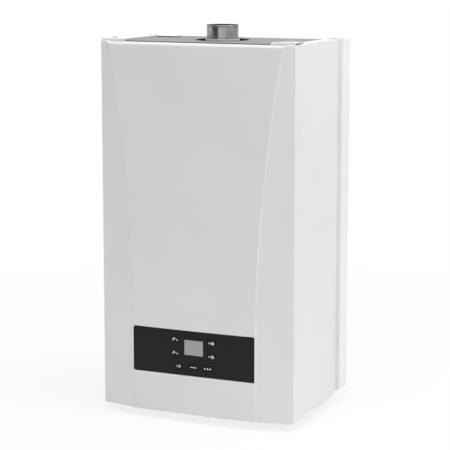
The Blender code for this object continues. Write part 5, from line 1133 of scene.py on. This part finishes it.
@dataclass
class SidePanels(Assembly):
    """Two flanged side panels with drawn-in lower rear corners and the tongues on top."""

    outer: float = 198 * MM
    flange: float = 176 * MM
    sheet: float = 1.0 * MM
    bend: float = 1.6 * MM
    face_inset: float = 9.6 * MM
    corners: tuple[Pair, ...] = (
        (-233.9 * MM, -636.6 * MM), (-74.3 * MM, -636.6 * MM), (-54.5 * MM, -633.1 * MM),
        (-38.3 * MM, -625.6 * MM), (-38.3 * MM, 61.0 * MM), (-233.9 * MM, 61.0 * MM))
    radii: tuple[float, ...] = (1.0 * MM, 24 * MM, 30 * MM, 3 * MM, 1.0 * MM, 1.0 * MM)
    arc_steps: int = 6
    tongue_x: float = 181 * MM
    tongue_y: float = -231 * MM
    tongue_half: Pair = (5 * MM, 0.75 * MM)
    tongue_corner: float = 0.5 * MM
    tongue_rim: float = 0.3 * MM
    tongue_levels: Pair = (60.4 * MM, 66.5 * MM)

    def build(self) -> None:
        """Carries the outline round the bend to the flange and adds the tongue."""
        outline = Outline(self.corners, self.radii, self.arc_steps)
        for side, label in SIDES:
            outer, flange = side * self.outer, side * self.flange
            bends = [(self.face_inset, outer), (0.0, outer), (0.0, flange)]
            profile = filleted(bends, self.bend, self.arc_steps)
            shell = Patchwork()
            numbers = shell.grid(banded(outline, profile, Axis.X), wrap_columns=True)
            shell.faces.append(numbers[0].tolist())
            panel = walled(shell.piece("panel_shell"), self.sheet)
            place = (side * self.tongue_x, self.tongue_y)
            upright = centred_outline(place, self.tongue_half, self.tongue_corner)
            tongue = plate("tongue", upright, self.tongue_levels, Axis.Z, self.tongue_rim)
            whole = gathered(f"side_{label}_sheet", panel, tongue)
            self.add(evened(whole), WHITE, "casing", f"side_panel_{label}")


@dataclass(frozen=True)
class Ear:
    """One ear bent forwards from the tray's top.

    It has a side, two ends across, a reach forwards, a slant, rounded front corners and an underside.
    """

    side: int
    inner: float
    outer: float
    reach: float
    slant: float
    rounding: float
    underside: float
    steps: int = 6

    def outline(self, front: float, overlap: float) -> Outline:
        """Slanted four-cornered outline in front of the tray, anticlockwise seen from above.

        Args:
            front: the tray's front.
            overlap: how far it reaches behind that front.

        Returns:
            The outline.
        """
        near, far, shift = front - self.reach, front + overlap, -self.side * self.slant
        inner, outer = self.side * self.inner, self.side * self.outer
        corners = ((inner + shift, near), (outer + shift, near), (outer, far), (inner, far))
        radii = (self.rounding, self.rounding, 0.0, 0.0)
        return Outline(corners[::self.side], radii[::self.side], self.steps)


@dataclass
class RearFrame(Assembly):
    """Shallow wall tray with inward lips, hanging slots and two ears over the top."""

    half_width: float = 206 * MM
    bottom: float = -626 * MM
    ear_top: float = 62.8 * MM
    crown: float = 56 * MM
    ears: tuple[Ear, ...] = (Ear(-1, 138 * MM, 186 * MM, 57 * MM, 25 * MM, 6 * MM, 61.3 * MM),
                             Ear(1, 180 * MM, 197 * MM, 14 * MM, 3 * MM, 2 * MM, 61.9 * MM))
    depth: float = 38 * MM
    lip: float = 16 * MM
    sheet: float = 1.0 * MM
    bend: float = 1.6 * MM
    back_inset: float = 9.6 * MM
    corner: float = 4.0 * MM
    small_corner: float = 1.0 * MM
    bend_steps: int = 6
    ear_sheet: float = 0.8 * MM
    ear_round: float = 4 * MM
    slot_x: float = 135 * MM
    slot_z: float = 12 * MM
    slot_half: Pair = (21 * MM, 7 * MM)
    slot_corner: float = 4.5 * MM
    slot_steps: int = 6

    def build(self) -> None:
        """Carries the stepped outline from the back sheet round to the lip."""
        wide, high, small = self.half_width, self.ear_top, self.small_corner
        left, right = (ear.side * ear.inner for ear in self.ears)
        corners = ((-wide, self.bottom), (wide, self.bottom), (wide, high), (right, high),
                   (right, self.crown), (left, self.crown), (left, high), (-wide, high))
        radii = (self.corner, self.corner, small, self.ear_round, small, small, self.ear_round, small)
        outline = Outline(corners, radii)
        bends = [(self.back_inset, 0.0), (0.0, 0.0), (0.0, -self.depth), (self.lip, -self.depth)]
        profile = filleted(bends, self.bend, self.bend_steps)
        shell = Patchwork()
        numbers = shell.grid(banded(outline, profile, Axis.Y), wrap_columns=True)
        shell.faces.append(numbers[0].tolist())
        tray = walled(shell.piece("tray_shell"), self.sheet)
        tools = []
        for side, _ in SIDES:
            place = (side * self.slot_x, self.slot_z)
            slot = centred_outline(place, self.slot_half, self.slot_corner, self.slot_steps)
            tools.append(prism("slot_tool", slot, (-3 * self.sheet, 2 * self.sheet), Axis.Y))
        pieces = [carved(tray, *tools)]
        for ear in self.ears:
            levels = (ear.underside, ear.underside + self.ear_sheet)
            shape = ear.outline(-self.depth, 2 * self.sheet)
            pieces.append(plate("ear", shape, levels, Axis.Z, self.ear_sheet / 3))
        self.add(evened(gathered("wall_tray", *pieces)), FRAME_WHITE, "casing", "rear_frame")


@dataclass
class TopPlate(Assembly):
    """Grey top sheet with down-turned sides and a collared air hole."""

    half_width: float = 196.7 * MM
    front: float = -232.6 * MM
    back: float = -39.6 * MM
    top: float = 59.7 * MM
    flange: float = 12 * MM
    sheet: float = 1.0 * MM
    bend: float = 1.3 * MM
    hole: float = 50 * MM
    hole_y: float = -138 * MM
    hole_steps: int = 96
    collar_drop: float = 4 * MM
    collar: float = 0.9 * MM
    collar_gap: float = 0.09 * MM
    collar_rim: float = 0.2 * MM
    # Black ring lining the air hole, making its inside dark: reach inwards, height, lap, edge radius.
    black_lining: float = 2.0 * MM
    black_lining_height: float = 14 * MM
    black_lining_lap: float = 0.7 * MM
    black_lining_rim: float = 0.5 * MM
    rows: int = 5
    bend_steps: int = 5

    def build(self) -> None:
        """Bends the sheet over its profile, cuts the hole and adds its collar and a black ring that lines the
        hole and makes its inside dark.
        """
        wide, foot, top = self.half_width, self.top - self.flange, self.top
        corners = [(-wide, foot), (-wide, top), (wide, top), (wide, foot)]
        x, z = filleted(corners, self.bend, self.bend_steps).T
        depth = np.linspace(self.front, self.back, self.rows)[:, None]
        bent = Patchwork()
        bent.grid(np.stack(np.broadcast_arrays(x, depth, z), -1))
        sheet = walled(bent.piece("top_shell"), self.sheet)
        ends = (top - 3 * self.sheet, top + self.sheet)
        tool = drill("hole_tool", (0.0, self.hole_y), self.hole, ends, self.hole_steps)
        collar = self.build_ring("collar", (self.collar_gap, self.collar),
                                 (-self.sheet - self.collar_drop, -self.sheet / 2), self.collar_rim)
        self.add(evened(gathered("top_sheet", carved(sheet, tool), collar)), GREY, "casing", "top_plate")
        # A black ring lines the air hole and makes its inside dark.
        black_lining = self.build_ring("air_hole_black_lining", (-self.black_lining, self.black_lining_lap),
                                 (-self.black_lining_height, self.black_lining_lap), self.black_lining_rim)
        self.add(black_lining, RUBBER, "casing")

    def build_ring(self, name: str, reach: Pair, rise: Pair, rim: float) -> bpy.types.Object:
        """Ring in the air hole, its rectangular section turned round the hole's centre.

        Args:
            name: the piece's name.
            reach: where it starts and ends beyond the hole's edge.
            rise: where it starts and ends above the sheet's top.
            rim: radius of its edges.

        Returns:
            The new object.
        """
        corners = section(self.hole + reach[0], self.hole + reach[1], self.top + rise[0], self.top + rise[1])
        return turned(name, corners, (0.0, self.hole_y), Axis.Z, rim, self.hole_steps, closed=True)


@dataclass
class Flue(Assembly):
    """Steel flue spigot with a rolled rim, and the lip seal at its foot."""

    centre: Pair = (0.0, -138 * MM)
    radius: float = 30 * MM
    wall: float = 1.0 * MM
    bottom: float = 57.0 * MM
    rim: float = 88.7 * MM
    bead: float = 0.35 * MM
    bead_height: float = 4 * MM
    seal_inner: float = 30.3 * MM
    seal_outer: float = 32.8 * MM
    seal_low: float = 53.2 * MM
    seal_high: float = 62.2 * MM
    spigot_edge: float = 0.7 * MM
    seal_edge: float = 0.6 * MM
    steps: int = 128

    def build(self) -> None:
        """Turns the spigot and the seal."""
        self.build_spigot()
        self.build_seal()

    def build_spigot(self) -> None:
        """Tube whose wall swells to a bead below its rolled rim."""
        inner, outer, beaded = self.radius - self.wall, self.radius, self.radius + self.bead
        swell, shoulder = self.rim - self.bead_height, self.rim - self.wall
        profile = [(outer, self.bottom), (outer, swell), (beaded, swell + self.bead_height / 3),
                   (beaded, shoulder), (outer, self.rim), (inner, shoulder), (inner, self.bottom)]
        spigot = turned("flue_spigot", profile, self.centre, Axis.Z, self.spigot_edge, self.steps,
                        closed=True)
        self.add(spigot, FLUE_STEEL, "casing", "flue_outlet")

    def build_seal(self) -> None:
        """Sleeve with a groove half way up and a drawn-in top, both a third of its wall deep."""
        inner, outer, low, high = self.seal_inner, self.seal_outer, self.seal_low, self.seal_high
        middle = (low + high) / 2
        lip = (outer - inner) / 3
        profile = [(inner, low), (outer, low), (outer, middle - lip), (outer - lip, middle),
                   (outer, middle + lip), (outer - lip, high), (inner, high)]
        seal = turned("flue_lip_seal", profile, self.centre, Axis.Z, self.seal_edge, self.steps, closed=True)
        self.add(seal, SILICONE, "casing", "flue_seal")


class Mark(Enum):
    """Generic sign printed on a key."""

    TAP = "tap"
    PLUS = "plus"
    MINUS = "minus"
    FLAME = "flame"
    DASH = "dash"
    DOTS = "dots"

    def outlines(self) -> list[Outline]:
        """Outlines of the sign's strokes round the key's centre.

        Boxes are given by left, bottom, right and top, discs by centre and radius, all in millimetres. The
        tap's wave lies at 1.8 - 3.6 t + 0.9 sin(3 pi t) with t from 0 to 1 along it, and is 1.2 thick.

        Returns:
            The outlines, in metres.
        """
        heater = [(x, -2.8, x + 1.1, 2.8) for x in (-0.6, 1.0, 2.6, 4.2)]
        heater += [(-0.6, -1.9, 5.3, -1.1), (-0.6, 1.1, 5.3, 1.9)]
        boxes = {
            Mark.TAP: [(-6.2, -1.4, -4.5, 2.4), (-6.2, 0.9, -0.4, 2.4), (-3.8, 2.2, -2.7, 3.8),
                       (-5.0, 3.5, -1.5, 4.5)],
            Mark.PLUS: [(-6.0, -0.6, -2.4, 0.6), (-4.8, -1.8, -3.6, 1.8), *heater],
            Mark.MINUS: [(-6.0, -0.6, -2.6, 0.6), *heater],
            Mark.FLAME: [(-5.0, -2.0, -4.0, 2.0)],
            Mark.DASH: [(-6.5, -0.6, 6.5, 0.6)],
            Mark.DOTS: [],
        }[self]
        strokes = [box_outline((a * MM, b * MM), (c * MM, d * MM), STROKE_CORNER, STROKE_STEPS)
                   for a, b, c, d in boxes]
        discs = {
            Mark.FLAME: [(0.6, -0.5, 2.1)],
            Mark.DOTS: [(x, 0.0, 1.5) for x in (-5.8, 0.0, 5.8)],
        }
        strokes += [disc_outline((x * MM, y * MM), r * MM, DISC_STEPS) for x, y, r in discs.get(self, [])]
        if self is Mark.FLAME:
            tip = ((-1.3 * MM, 0.2 * MM), (2.5 * MM, 0.2 * MM), (1.1 * MM, 3.6 * MM))
            strokes.append(Outline(tip, STROKE_CORNER, STROKE_STEPS))
        if self is Mark.TAP:
            along = np.linspace(0.0, 1.0, WAVE_POINTS)
            middle = np.stack([0.4 + 5.4 * along, 1.8 - 3.6 * along + 0.9 * np.sin(along * 3 * np.pi)], -1)
            edges = np.concatenate([middle - (0.0, 0.6), middle[::-1] + (0.0, 0.6)]) * MM
            strokes.append(Outline(tuple(map(tuple, edges)), steps=1))
        return strokes


@dataclass(frozen=True)
class Key:
    """One key: its name, centre, size, slanted corner and mark."""

    name: str
    centre: Pair
    size: Pair
    slanted: tuple[int, int]
    mark: Mark


@dataclass
class ControlFront(Assembly):
    """Black fascia with the display window and the seven keys."""

    low: Pair = (-125.4 * MM, -565.3 * MM)
    high: Pair = (125.4 * MM, -479.2 * MM)
    front: float = -269.0 * MM
    back: float = -264.8 * MM
    corner: float = 3.0 * MM
    rim: float = 0.7 * MM
    gap: float = 0.3 * MM
    key_gap: float = 0.6 * MM
    window_low: Pair = (-19.5 * MM, -526.0 * MM)
    window_high: Pair = (19.5 * MM, -496.8 * MM)
    window_front: float = -268.4 * MM
    window_back: float = -259.5 * MM
    window_corner: float = 0.3 * MM
    window_rim: float = 0.25 * MM
    board_low: Pair = (-56 * MM, -560.5 * MM)
    board_high: Pair = (56 * MM, -486.5 * MM)
    board_corner: float = 1.5 * MM
    board_rim: float = 0.2 * MM
    board_levels: Pair = (-259.7 * MM, -258.1 * MM)
    key_front: float = -269.8 * MM
    key_back: float = -266.1 * MM
    key_nip: float = 1.75 * MM
    key_slant: float = 5.0 * MM
    key_round: float = 0.8 * MM
    key_dome: float = 0.12 * MM
    stem: float = 2.0 * MM
    stem_rim: float = 0.2 * MM
    stem_end: float = -261.0 * MM
    stem_steps: int = 24
    mark_rise: float = 0.06 * MM
    mark_rim: float = 0.02 * MM
    corner_steps: int = 6
    rim_steps: int = 4
    window_steps: int = 2
    key_steps: int = 3
    mark_steps: int = 1
    keys: tuple[Key, ...] = (
        Key("upper_left", (-37.4 * MM, -498.5 * MM), (17 * MM, 13 * MM), (1, 1), Mark.TAP),
        Key("lower_left", (-37.4 * MM, -524.5 * MM), (17 * MM, 13 * MM), (1, 1), Mark.TAP),
        Key("upper_right", (37.4 * MM, -498.5 * MM), (17 * MM, 13 * MM), (1, -1), Mark.PLUS),
        Key("lower_right", (37.4 * MM, -524.5 * MM), (17 * MM, 13 * MM), (1, -1), Mark.MINUS),
        Key("row_left", (-29.6 * MM, -548.5 * MM), (20 * MM, 12 * MM), (1, 1), Mark.FLAME),
        Key("row_middle", (0.0, -548.5 * MM), (20 * MM, 12 * MM), (1, -1), Mark.DASH),
        Key("row_right", (29.6 * MM, -548.5 * MM), (20 * MM, 12 * MM), (1, -1), Mark.DOTS),
    )

    def key_outline(self, key: Key, growth: float = 0.0) -> Outline:
        """Rectangle with nipped corners and one slanted corner.

        Args:
            key: the key.
            growth: how much wider it is on every side.

        Returns:
            The outline.
        """
        half = (key.size[0] / 2 + growth, key.size[1] / 2 + growth)
        points: list[Pair] = []
        for side, rise in ((1, 1), (-1, 1), (-1, -1), (1, -1)):
            nip = self.key_slant if (side, rise) == key.slanted else self.key_nip
            flat = (key.centre[0] + side * (half[0] - nip), key.centre[1] + rise * half[1])
            upright = (key.centre[0] + side * half[0], key.centre[1] + rise * (half[1] - nip))
            points += [upright, flat] if side * rise > 0 else [flat, upright]
        return Outline(tuple(points), self.key_round, self.key_steps)

    def build(self) -> None:
        """Makes the fascia, the window, the keys and their marks."""
        panel = box_outline(self.low, self.high, self.corner, self.corner_steps)
        levels = (self.front, self.back)
        fascia = settled(plate("fascia_plate", panel, levels, Axis.Y, self.rim, self.rim_steps))
        ends = (self.front - self.corner, self.back + self.corner)
        window = box_outline(self.window_low, self.window_high, self.window_corner, self.window_steps)
        tools = [prism("window_tool", window, ends, Axis.Y, self.gap)]
        tools += [prism("key_tool", self.key_outline(key, self.key_gap), ends, Axis.Y) for key in self.keys]
        self.add(evened(carved(fascia, *tools)), GLOSS_BLACK, "control_unit", "control_fascia")
        levels = (self.window_front, self.window_back)
        glass = plate("display_glass", window, levels, Axis.Y, self.window_rim)
        self.add(glass, CRYSTAL, "control_unit", "display_module")
        card = box_outline(self.board_low, self.board_high, self.board_corner)
        board = plate("keypad_board", card, self.board_levels, Axis.Y, self.board_rim)
        self.add(board, BOARD, "control_unit")
        for key in self.keys:
            self.build_key(key)

    def build_key(self, key: Key) -> None:
        """Cap with a softened rim and a shallow dome, its stem and its mark.

        Args:
            key: the key.
        """
        corners = [(self.rim, self.key_back), (0.0, self.key_back), (0.0, self.key_front + self.key_dome),
                   (self.key_nip, self.key_front)]
        profile = filleted(corners, self.key_round, self.rim_steps)
        skin = banded(self.key_outline(key), profile, Axis.Y)
        cap = evened(Patchwork().ring(skin, capped=True).piece("cap"))
        rod = section(0.0, self.stem, self.key_back - self.rim, self.stem_end)
        stem = turned("stem", rod, key.centre, Axis.Y, self.stem_rim, self.stem_steps)
        whole = gathered(f"{key.name}_cap", cap, stem)
        self.add(evened(whole), GLOSS_BLACK, f"{key.name}_key", f"key_{key.name}")
        levels = (self.key_front - self.mark_rise, self.key_front + 2 * self.key_dome)
        shift = (key.centre[0], 0.0, key.centre[1])
        strokes = [moved(plate("stroke", stroke, levels, Axis.Y, self.mark_rim, self.mark_steps), shift)
                   for stroke in key.mark.outlines()]
        self.add(gathered(f"{key.name}_mark", *strokes), PRINT, f"{key.name}_key")


def rounded_copy(node: bpy.types.Object, name: str, edge: float) -> bpy.types.Object:
    """Copy of a frame node with merged points, whole flats and rounded sharp edges.

    Args:
        node: the frame's object.
        name: the copy's name.
        edge: width of the rounding.

    Returns:
        The copy.
    """
    shape = bmesh.new()
    shape.from_mesh(node.data)
    bmesh.ops.remove_doubles(shape, verts=shape.verts, dist=MERGE)
    bmesh.ops.dissolve_limit(shape, angle_limit=FLAT, verts=shape.verts, edges=shape.edges)
    mesh = bpy.data.meshes.new(name)
    shape.to_mesh(mesh)
    shape.free()
    copy = bpy.data.objects.new(name, mesh)
    bpy.context.scene.collection.objects.link(copy)
    smoothed(copy)
    rounding = copy.modifiers.new("rounding", "BEVEL")
    rounding.width = edge
    rounding.segments = EDGE_PIECES
    rounding.limit_method = "ANGLE"
    rounding.angle_limit = ROUNDED
    return evened(copy)


@dataclass(frozen=True)
class Knob:
    """One hand knob: its name, the body it turns with, its axis, its places along it and its finish."""

    name: str
    body: str
    axis: Axis
    centre: Pair
    levels: Pair
    radius: float
    spindle_end: float
    finish: Finish
    lobe_points: int = 12

    def outline(self, lobes: int, hollow: float) -> Outline:
        """Wavy outline: the radius swings from its full length to 1 - hollow of it and back once per lobe.

        Args:
            lobes: how many lobes it has.
            hollow: the hollows' depth as a share of the radius.

        Returns:
            The outline.
        """
        points = lobes * self.lobe_points
        turn = np.arange(points) * 2 * np.pi / points
        reach = self.radius * (1 - hollow * (1 - np.cos(lobes * turn)) / 2)
        ring = np.asarray(self.centre) + reach[:, None] * np.stack([np.cos(turn), np.sin(turn)], -1)
        return Outline(tuple(map(tuple, ring)), steps=1)


@dataclass
class Fittings(Assembly):
    """What hands and spanners reach: threads of the ports, lobed knobs, cross-slotted cover screws."""

    ports: tuple[tuple[str, float, float], ...] = (
        ("flow", -130 * MM, 11 * MM), ("hot_water", -65 * MM, 9 * MM), ("gas", 0.0, 9 * MM),
        ("cold_water", 65 * MM, 9 * MM), ("return", 130 * MM, 11 * MM))
    port_y: float = -75 * MM
    port_end: float = -655 * MM
    thread_start: float = 1.0 * MM
    pitch: float = 1.8 * MM
    crest: float = 0.45 * MM
    root: float = 0.6 * MM
    threads: int = 6
    thread_edge: float = 0.15 * MM
    thread_steps: int = 64
    ridge_steps: int = 2
    knobs: tuple[Knob, ...] = (
        Knob("fill_knob", "fill_tap", Axis.Z, (97.5 * MM, -75 * MM),
             (-634 * MM, -622 * MM), 12 * MM, -614 * MM, BLACK_PLASTIC),
        Knob("drain_knob", "drain_tap", Axis.Z, (-97.5 * MM, -75 * MM),
             (-634 * MM, -622 * MM), 12 * MM, -614 * MM, GREY_PLASTIC),
        Knob("safety_knob", "safety_cap", Axis.Y, (78 * MM, -583.9 * MM),
             (-125.6 * MM, -111.6 * MM), 13 * MM, -103.6 * MM, RED_PLASTIC))
    lobes: int = 8
    hollow: float = 0.12
    knob_edge: float = 1.4 * MM
    knob_edge_steps: int = 4
    spindle: float = 3 * MM
    spindle_edge: float = 0.3 * MM
    spindle_steps: int = 24
    screw_place: Pair = (120 * MM, -244 * MM)
    screw_head: float = 4.5 * MM
    screw_face: float = 3.375 * MM
    screw_edge: float = 0.5 * MM
    screw_steps: int = 32
    screw_low: float = -642.8 * MM
    screw_seat: float = -640.3 * MM
    screw_end: float = -621 * MM
    shank: float = 1.75 * MM
    shank_tip: float = 0.4 * MM
    shank_lap: float = 0.5 * MM
    cross: Pair = (2.6 * MM, 0.45 * MM)
    cross_corner: float = 0.2 * MM
    cross_steps: int = 2
    cross_depth: float = 1.3 * MM

    def build(self) -> None:
        """Makes the threads, the knobs and the screws."""
        for name, x, radius in self.ports:
            self.build_thread(name, x, radius)
        for knob in self.knobs:
            self.build_knob(knob)
        for side, label in SIDES:
            self.build_screw(side * self.screw_place[0], label)

    def build_thread(self, name: str, x: float, radius: float) -> None:
        """Ring of ridges round a port: the radius goes up to the crest and back once per pitch.

        Args:
            name: the port's name.
            x: where the port is.
            radius: its radius.
        """
        step = np.arange(2 * self.threads + 1)
        level = self.port_end + self.thread_start + step * self.pitch / 2
        ridge = np.stack([radius + self.crest * (step % 2), level], -1)
        ends = np.array([[radius - self.root, level[-1]], [radius - self.root, level[0]]])
        thread = turned(f"{name}_thread", np.concatenate([ridge, ends]), (x, self.port_y), Axis.Z,
                        self.thread_edge, self.thread_steps, closed=True, rounding=self.ridge_steps)
        self.add(thread, BRASS, "casing")

    def build_knob(self, knob: Knob) -> None:
        """Lobed grip on a round spindle.

        Args:
            knob: the knob.
        """
        wave = knob.outline(self.lobes, self.hollow)
        grip = plate("grip", wave, knob.levels, knob.axis, self.knob_edge, self.knob_edge_steps)
        rod = section(0.0, self.spindle, sum(knob.levels) / 2, knob.spindle_end)
        pin = turned("pin", rod, knob.centre, knob.axis, self.spindle_edge, self.spindle_steps)
        self.add(evened(gathered(f"{knob.name}_grip", grip, pin)), knob.finish, knob.body, knob.name)

    def build_screw(self, x: float, label: str) -> None:
        """Domed head with a cross cut into it, and its shank.

        Args:
            x: where the screw is.
            label: the side that it is on.
        """
        centre, low, seat = (x, self.screw_place[1]), self.screw_low, self.screw_seat
        dome = [(0.0, low), (self.screw_face, low), (self.screw_head, (low + seat) / 2),
                (self.screw_head, seat), (0.0, seat)]
        head = turned("head", dome, centre, Axis.Z, self.screw_edge, self.screw_steps)
        tools = []
        for half in (self.cross, self.cross[::-1]):
            slot = centred_outline(centre, half, self.cross_corner, self.cross_steps)
            levels = (low - self.cross_depth, low + self.cross_depth)
            tools.append(prism("cross_tool", slot, levels, Axis.Z))
        rod = section(0.0, self.shank, seat - self.shank_lap, self.screw_end)
        shank = turned("shank", rod, centre, Axis.Z, self.shank_tip, self.spindle_steps)
        screw = evened(gathered(f"screw_{label}", carved(head, *tools), shank))
        self.add(screw, ZINC, "cover", f"cover_screw_{label}")


@dataclass
class InnerParts(Assembly):
    """Pieces inside and below the casing that keep the frame's shape, with rounded edges."""

    frame: dict[str, object] = field(default_factory=dict)
    edge: float = 0.4 * MM

    def build(self) -> None:
        """Copies each remaining node and rounds its edges."""
        groups = self.frame["record"]["behaviour"]["bodies"]
        carrier = {node: body for body, nodes in groups.items() for node in nodes}
        for node, finish in NODE_FINISHES.items():
            copy = rounded_copy(self.frame["nodes"][node], f"{node}_piece", self.edge)
            self.add(copy, finish, carrier[node], node)


@dataclass(frozen=True)
class Lamp:
    """Square lamp: its place, the point that it faces, its side and its power in watts."""

    name: str
    place: Place
    aim: Place
    side: float
    power: float


@dataclass(frozen=True)
class Card:
    """Flat dark card: its place, the point that it faces and its half sizes."""

    name: str
    place: Place
    aim: Place
    half: Pair


@dataclass
class Studio:
    """Pale floor, white surroundings, soft lamps and the camera at the photograph's angle."""

    camera_place: Place = (1.362, -3.080, 0.2364)
    yaw: float = math.radians(24.763)
    pitch: float = math.radians(9.325)
    lens: float = 136.29
    sensor: float = 36.0
    floor_level: float = -0.6556
    floor_rings: tuple[float, ...] = (0.0, 0.6, 1.2, 2.4, 6.0)
    floor_columns: int = 96
    floor_fade: Pair = (0.85, 1.7)
    floor_glow: float = 0.80
    floor_tone: float = 0.9
    card_tone: float = 0.01
    ambient: float = 0.50
    lamps: tuple[Lamp, ...] = (
        Lamp("right_lamp", (2.8, 0.2, 1.5), (0.0, -0.15, -0.15), 2.0, 31.0),
        Lamp("front_lamp", (-0.4, -3.6, 1.2), (0.0, -0.15, -0.3), 2.4, 3.0),
        Lamp("top_lamp", (0.4, -0.75, 3.0), (0.0, -0.15, 0.0), 1.6, 62.0),
    )
    cards: tuple[Card, ...] = (
        Card("left_card", (-1.7, -3.0, -0.4), (0.0, -0.26, -0.5), (1.5, 1.3)),
    )

    def sight(self, tree: bpy.types.NodeTree) -> bpy.types.NodeSocket:
        """One for rays that the camera sees, straight, in gloss or through glass, and zero for others.

        Args:
            tree: the node tree to add it to.

        Returns:
            The socket with that value, the largest of the three kinds of ray.
        """
        path = tree.nodes.new("ShaderNodeLightPath")
        seen = path.outputs["Is Camera Ray"]
        for name in ("Is Glossy Ray", "Is Transmission Ray"):
            both = tree.nodes.new("ShaderNodeMath")
            both.operation = "MAXIMUM"
            tree.links.new(seen, both.inputs[0])
            tree.links.new(path.outputs[name], both.inputs[1])
            seen = both.outputs[0]
        return seen

    def mixed(self, tree: bpy.types.NodeTree, share: bpy.types.NodeSocket, first: bpy.types.Node,
              second: bpy.types.Node) -> bpy.types.Node:
        """Mixes two shaders.

        Args:
            tree: their node tree.
            share: what the second one takes.
            first: the first shader.
            second: the second shader.

        Returns:
            The mixing node.
        """
        mixer = tree.nodes.new("ShaderNodeMixShader")
        for source, target in zip((share, first.outputs[0], second.outputs[0]), mixer.inputs):
            tree.links.new(source, target)
        return mixer

    def surroundings(self) -> None:
        """World that lights softly and shows white to the camera, in gloss and through glass."""
        world = bpy.data.worlds.new("surroundings")
        bpy.context.scene.world = world
        world.use_nodes = True
        tree = world.node_tree
        tree.nodes.clear()
        lit = tree.nodes.new("ShaderNodeBackground")
        lit.inputs["Strength"].default_value = self.ambient
        white = tree.nodes.new("ShaderNodeBackground")
        for shader in (lit, white):
            shader.inputs["Color"].default_value = (1.0, 1.0, 1.0, 1.0)
        output = tree.nodes.new("ShaderNodeOutputWorld")
        tree.links.new(self.mixed(tree, self.sight(tree), lit, white).outputs[0], output.inputs[0])

    def floor(self) -> None:
        """Round pale floor: rings of growing radius, turned round the middle."""
        rings = [(radius, self.floor_level) for radius in self.floor_rings]
        ground = Patchwork().ring(lathe(rings, (0.0, 0.0), Axis.Z, self.floor_columns)).piece("floor")
        ground.data.flip_normals()
        ground.data.materials.append(self.floor_paint())

    def floor_paint(self) -> bpy.types.Material:
        """Paint seen from above only, that keeps the object's shadow and fades to white outwards.

        Returns:
            The material.
        """
        material = bpy.data.materials.new("pale_floor")
        material.use_nodes = True
        tree = material.node_tree
        tree.nodes.clear()
        place = tree.nodes.new("ShaderNodeTexCoord").outputs["Object"]
        length = tree.nodes.new("ShaderNodeVectorMath")
        length.operation = "LENGTH"
        tree.links.new(place, length.inputs[0])
        fade = tree.nodes.new("ShaderNodeMapRange")
        fade.interpolation_type = "SMOOTHSTEP"
        for socket, value in zip(("From Min", "From Max", "To Min"), (*self.floor_fade, self.floor_glow)):
            fade.inputs[socket].default_value = value
        tree.links.new(length.outputs["Value"], fade.inputs["Value"])
        share = tree.nodes.new("ShaderNodeMath")
        share.operation = "MULTIPLY"
        tree.links.new(self.sight(tree), share.inputs[0])
        tree.links.new(fade.outputs[0], share.inputs[1])
        paint = tree.nodes.new("ShaderNodeBsdfDiffuse")
        paint.inputs["Color"].default_value = (*[self.floor_tone] * 3, 1.0)
        lit = self.mixed(tree, share.outputs[0], paint, tree.nodes.new("ShaderNodeEmission"))
        below = tree.nodes.new("ShaderNodeNewGeometry").outputs["Backfacing"]
        shown = self.mixed(tree, below, lit, tree.nodes.new("ShaderNodeBsdfTransparent"))
        output = tree.nodes.new("ShaderNodeOutputMaterial")
        tree.links.new(shown.outputs[0], output.inputs[0])
        return material

    def lights(self) -> None:
        """Large square lamps aimed at the object."""
        for lamp in self.lamps:
            light = bpy.data.lights.new(lamp.name, "AREA")
            light.size = lamp.side
            light.energy = lamp.power
            holder = bpy.data.objects.new(lamp.name, light)
            bpy.context.scene.collection.objects.link(holder)
            holder.location = lamp.place
            direction = np.subtract(lamp.aim, lamp.place)
            spin = math.atan2(direction[1], direction[0]) - math.pi / 2
            tilt = math.atan2(math.hypot(direction[0], direction[1]), -direction[2])
            holder.rotation_euler = (tilt, 0.0, spin)

    def flags(self) -> None:
        """Dark cards that only show as reflections in glossy surfaces."""
        paint = bpy.data.materials.new("dark_card")
        paint.use_nodes = True
        shader = paint.node_tree.nodes["Principled BSDF"]
        shader.inputs["Base Color"].default_value = (*[self.card_tone] * 3, 1.0)
        shader.inputs["Specular IOR Level"].default_value = 0.0
        for card in self.cards:
            centre = np.array(card.place)
            ahead = unit(np.subtract(card.aim, card.place))
            side = unit(np.cross(ahead, (0.0, 0.0, 1.0))) * card.half[0]
            up = unit(np.cross(side, ahead)) * card.half[1]
            sheet = Patchwork()
            low, high = centre - up, centre + up
            sheet.grid(np.array([[low - side, low + side], [high - side, high + side]]))
            piece = sheet.piece(card.name)
            piece.data.materials.append(paint)
            piece.visible_camera = piece.visible_diffuse = piece.visible_shadow = False

    def camera(self) -> None:
        """Camera at the photograph's place and angle."""
        view = bpy.data.cameras.new("camera")
        view.lens = self.lens
        view.sensor_width = self.sensor
        holder = bpy.data.objects.new("camera", view)
        bpy.context.scene.collection.objects.link(holder)
        holder.location = self.camera_place
        holder.rotation_euler = (math.pi / 2 - self.pitch, 0.0, self.yaw)
        bpy.context.scene.camera = holder

    def build(self) -> None:
        """Sets the whole stage."""
        self.surroundings()
        self.floor()
        self.flags()
        self.lights()
        self.camera()
        bpy.context.scene.view_settings.view_transform = "Standard"


def main() -> None:
    """Loads the frame, sets up the studio, and builds and dresses each sub-assembly."""
    logging.basicConfig(level=logging.INFO, format="%(message)s")
    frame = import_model()
    Studio().build()
    assemblies = [FrontCover(), CoverHooks(), SidePanels(), RearFrame(), TopPlate(), Flue(), ControlFront(),
                  Fittings(), InnerParts(frame=frame)]
    for assembly in assemblies:
        assembly.build()
        assembly.dress()


if __name__ == "__main__":
    main()
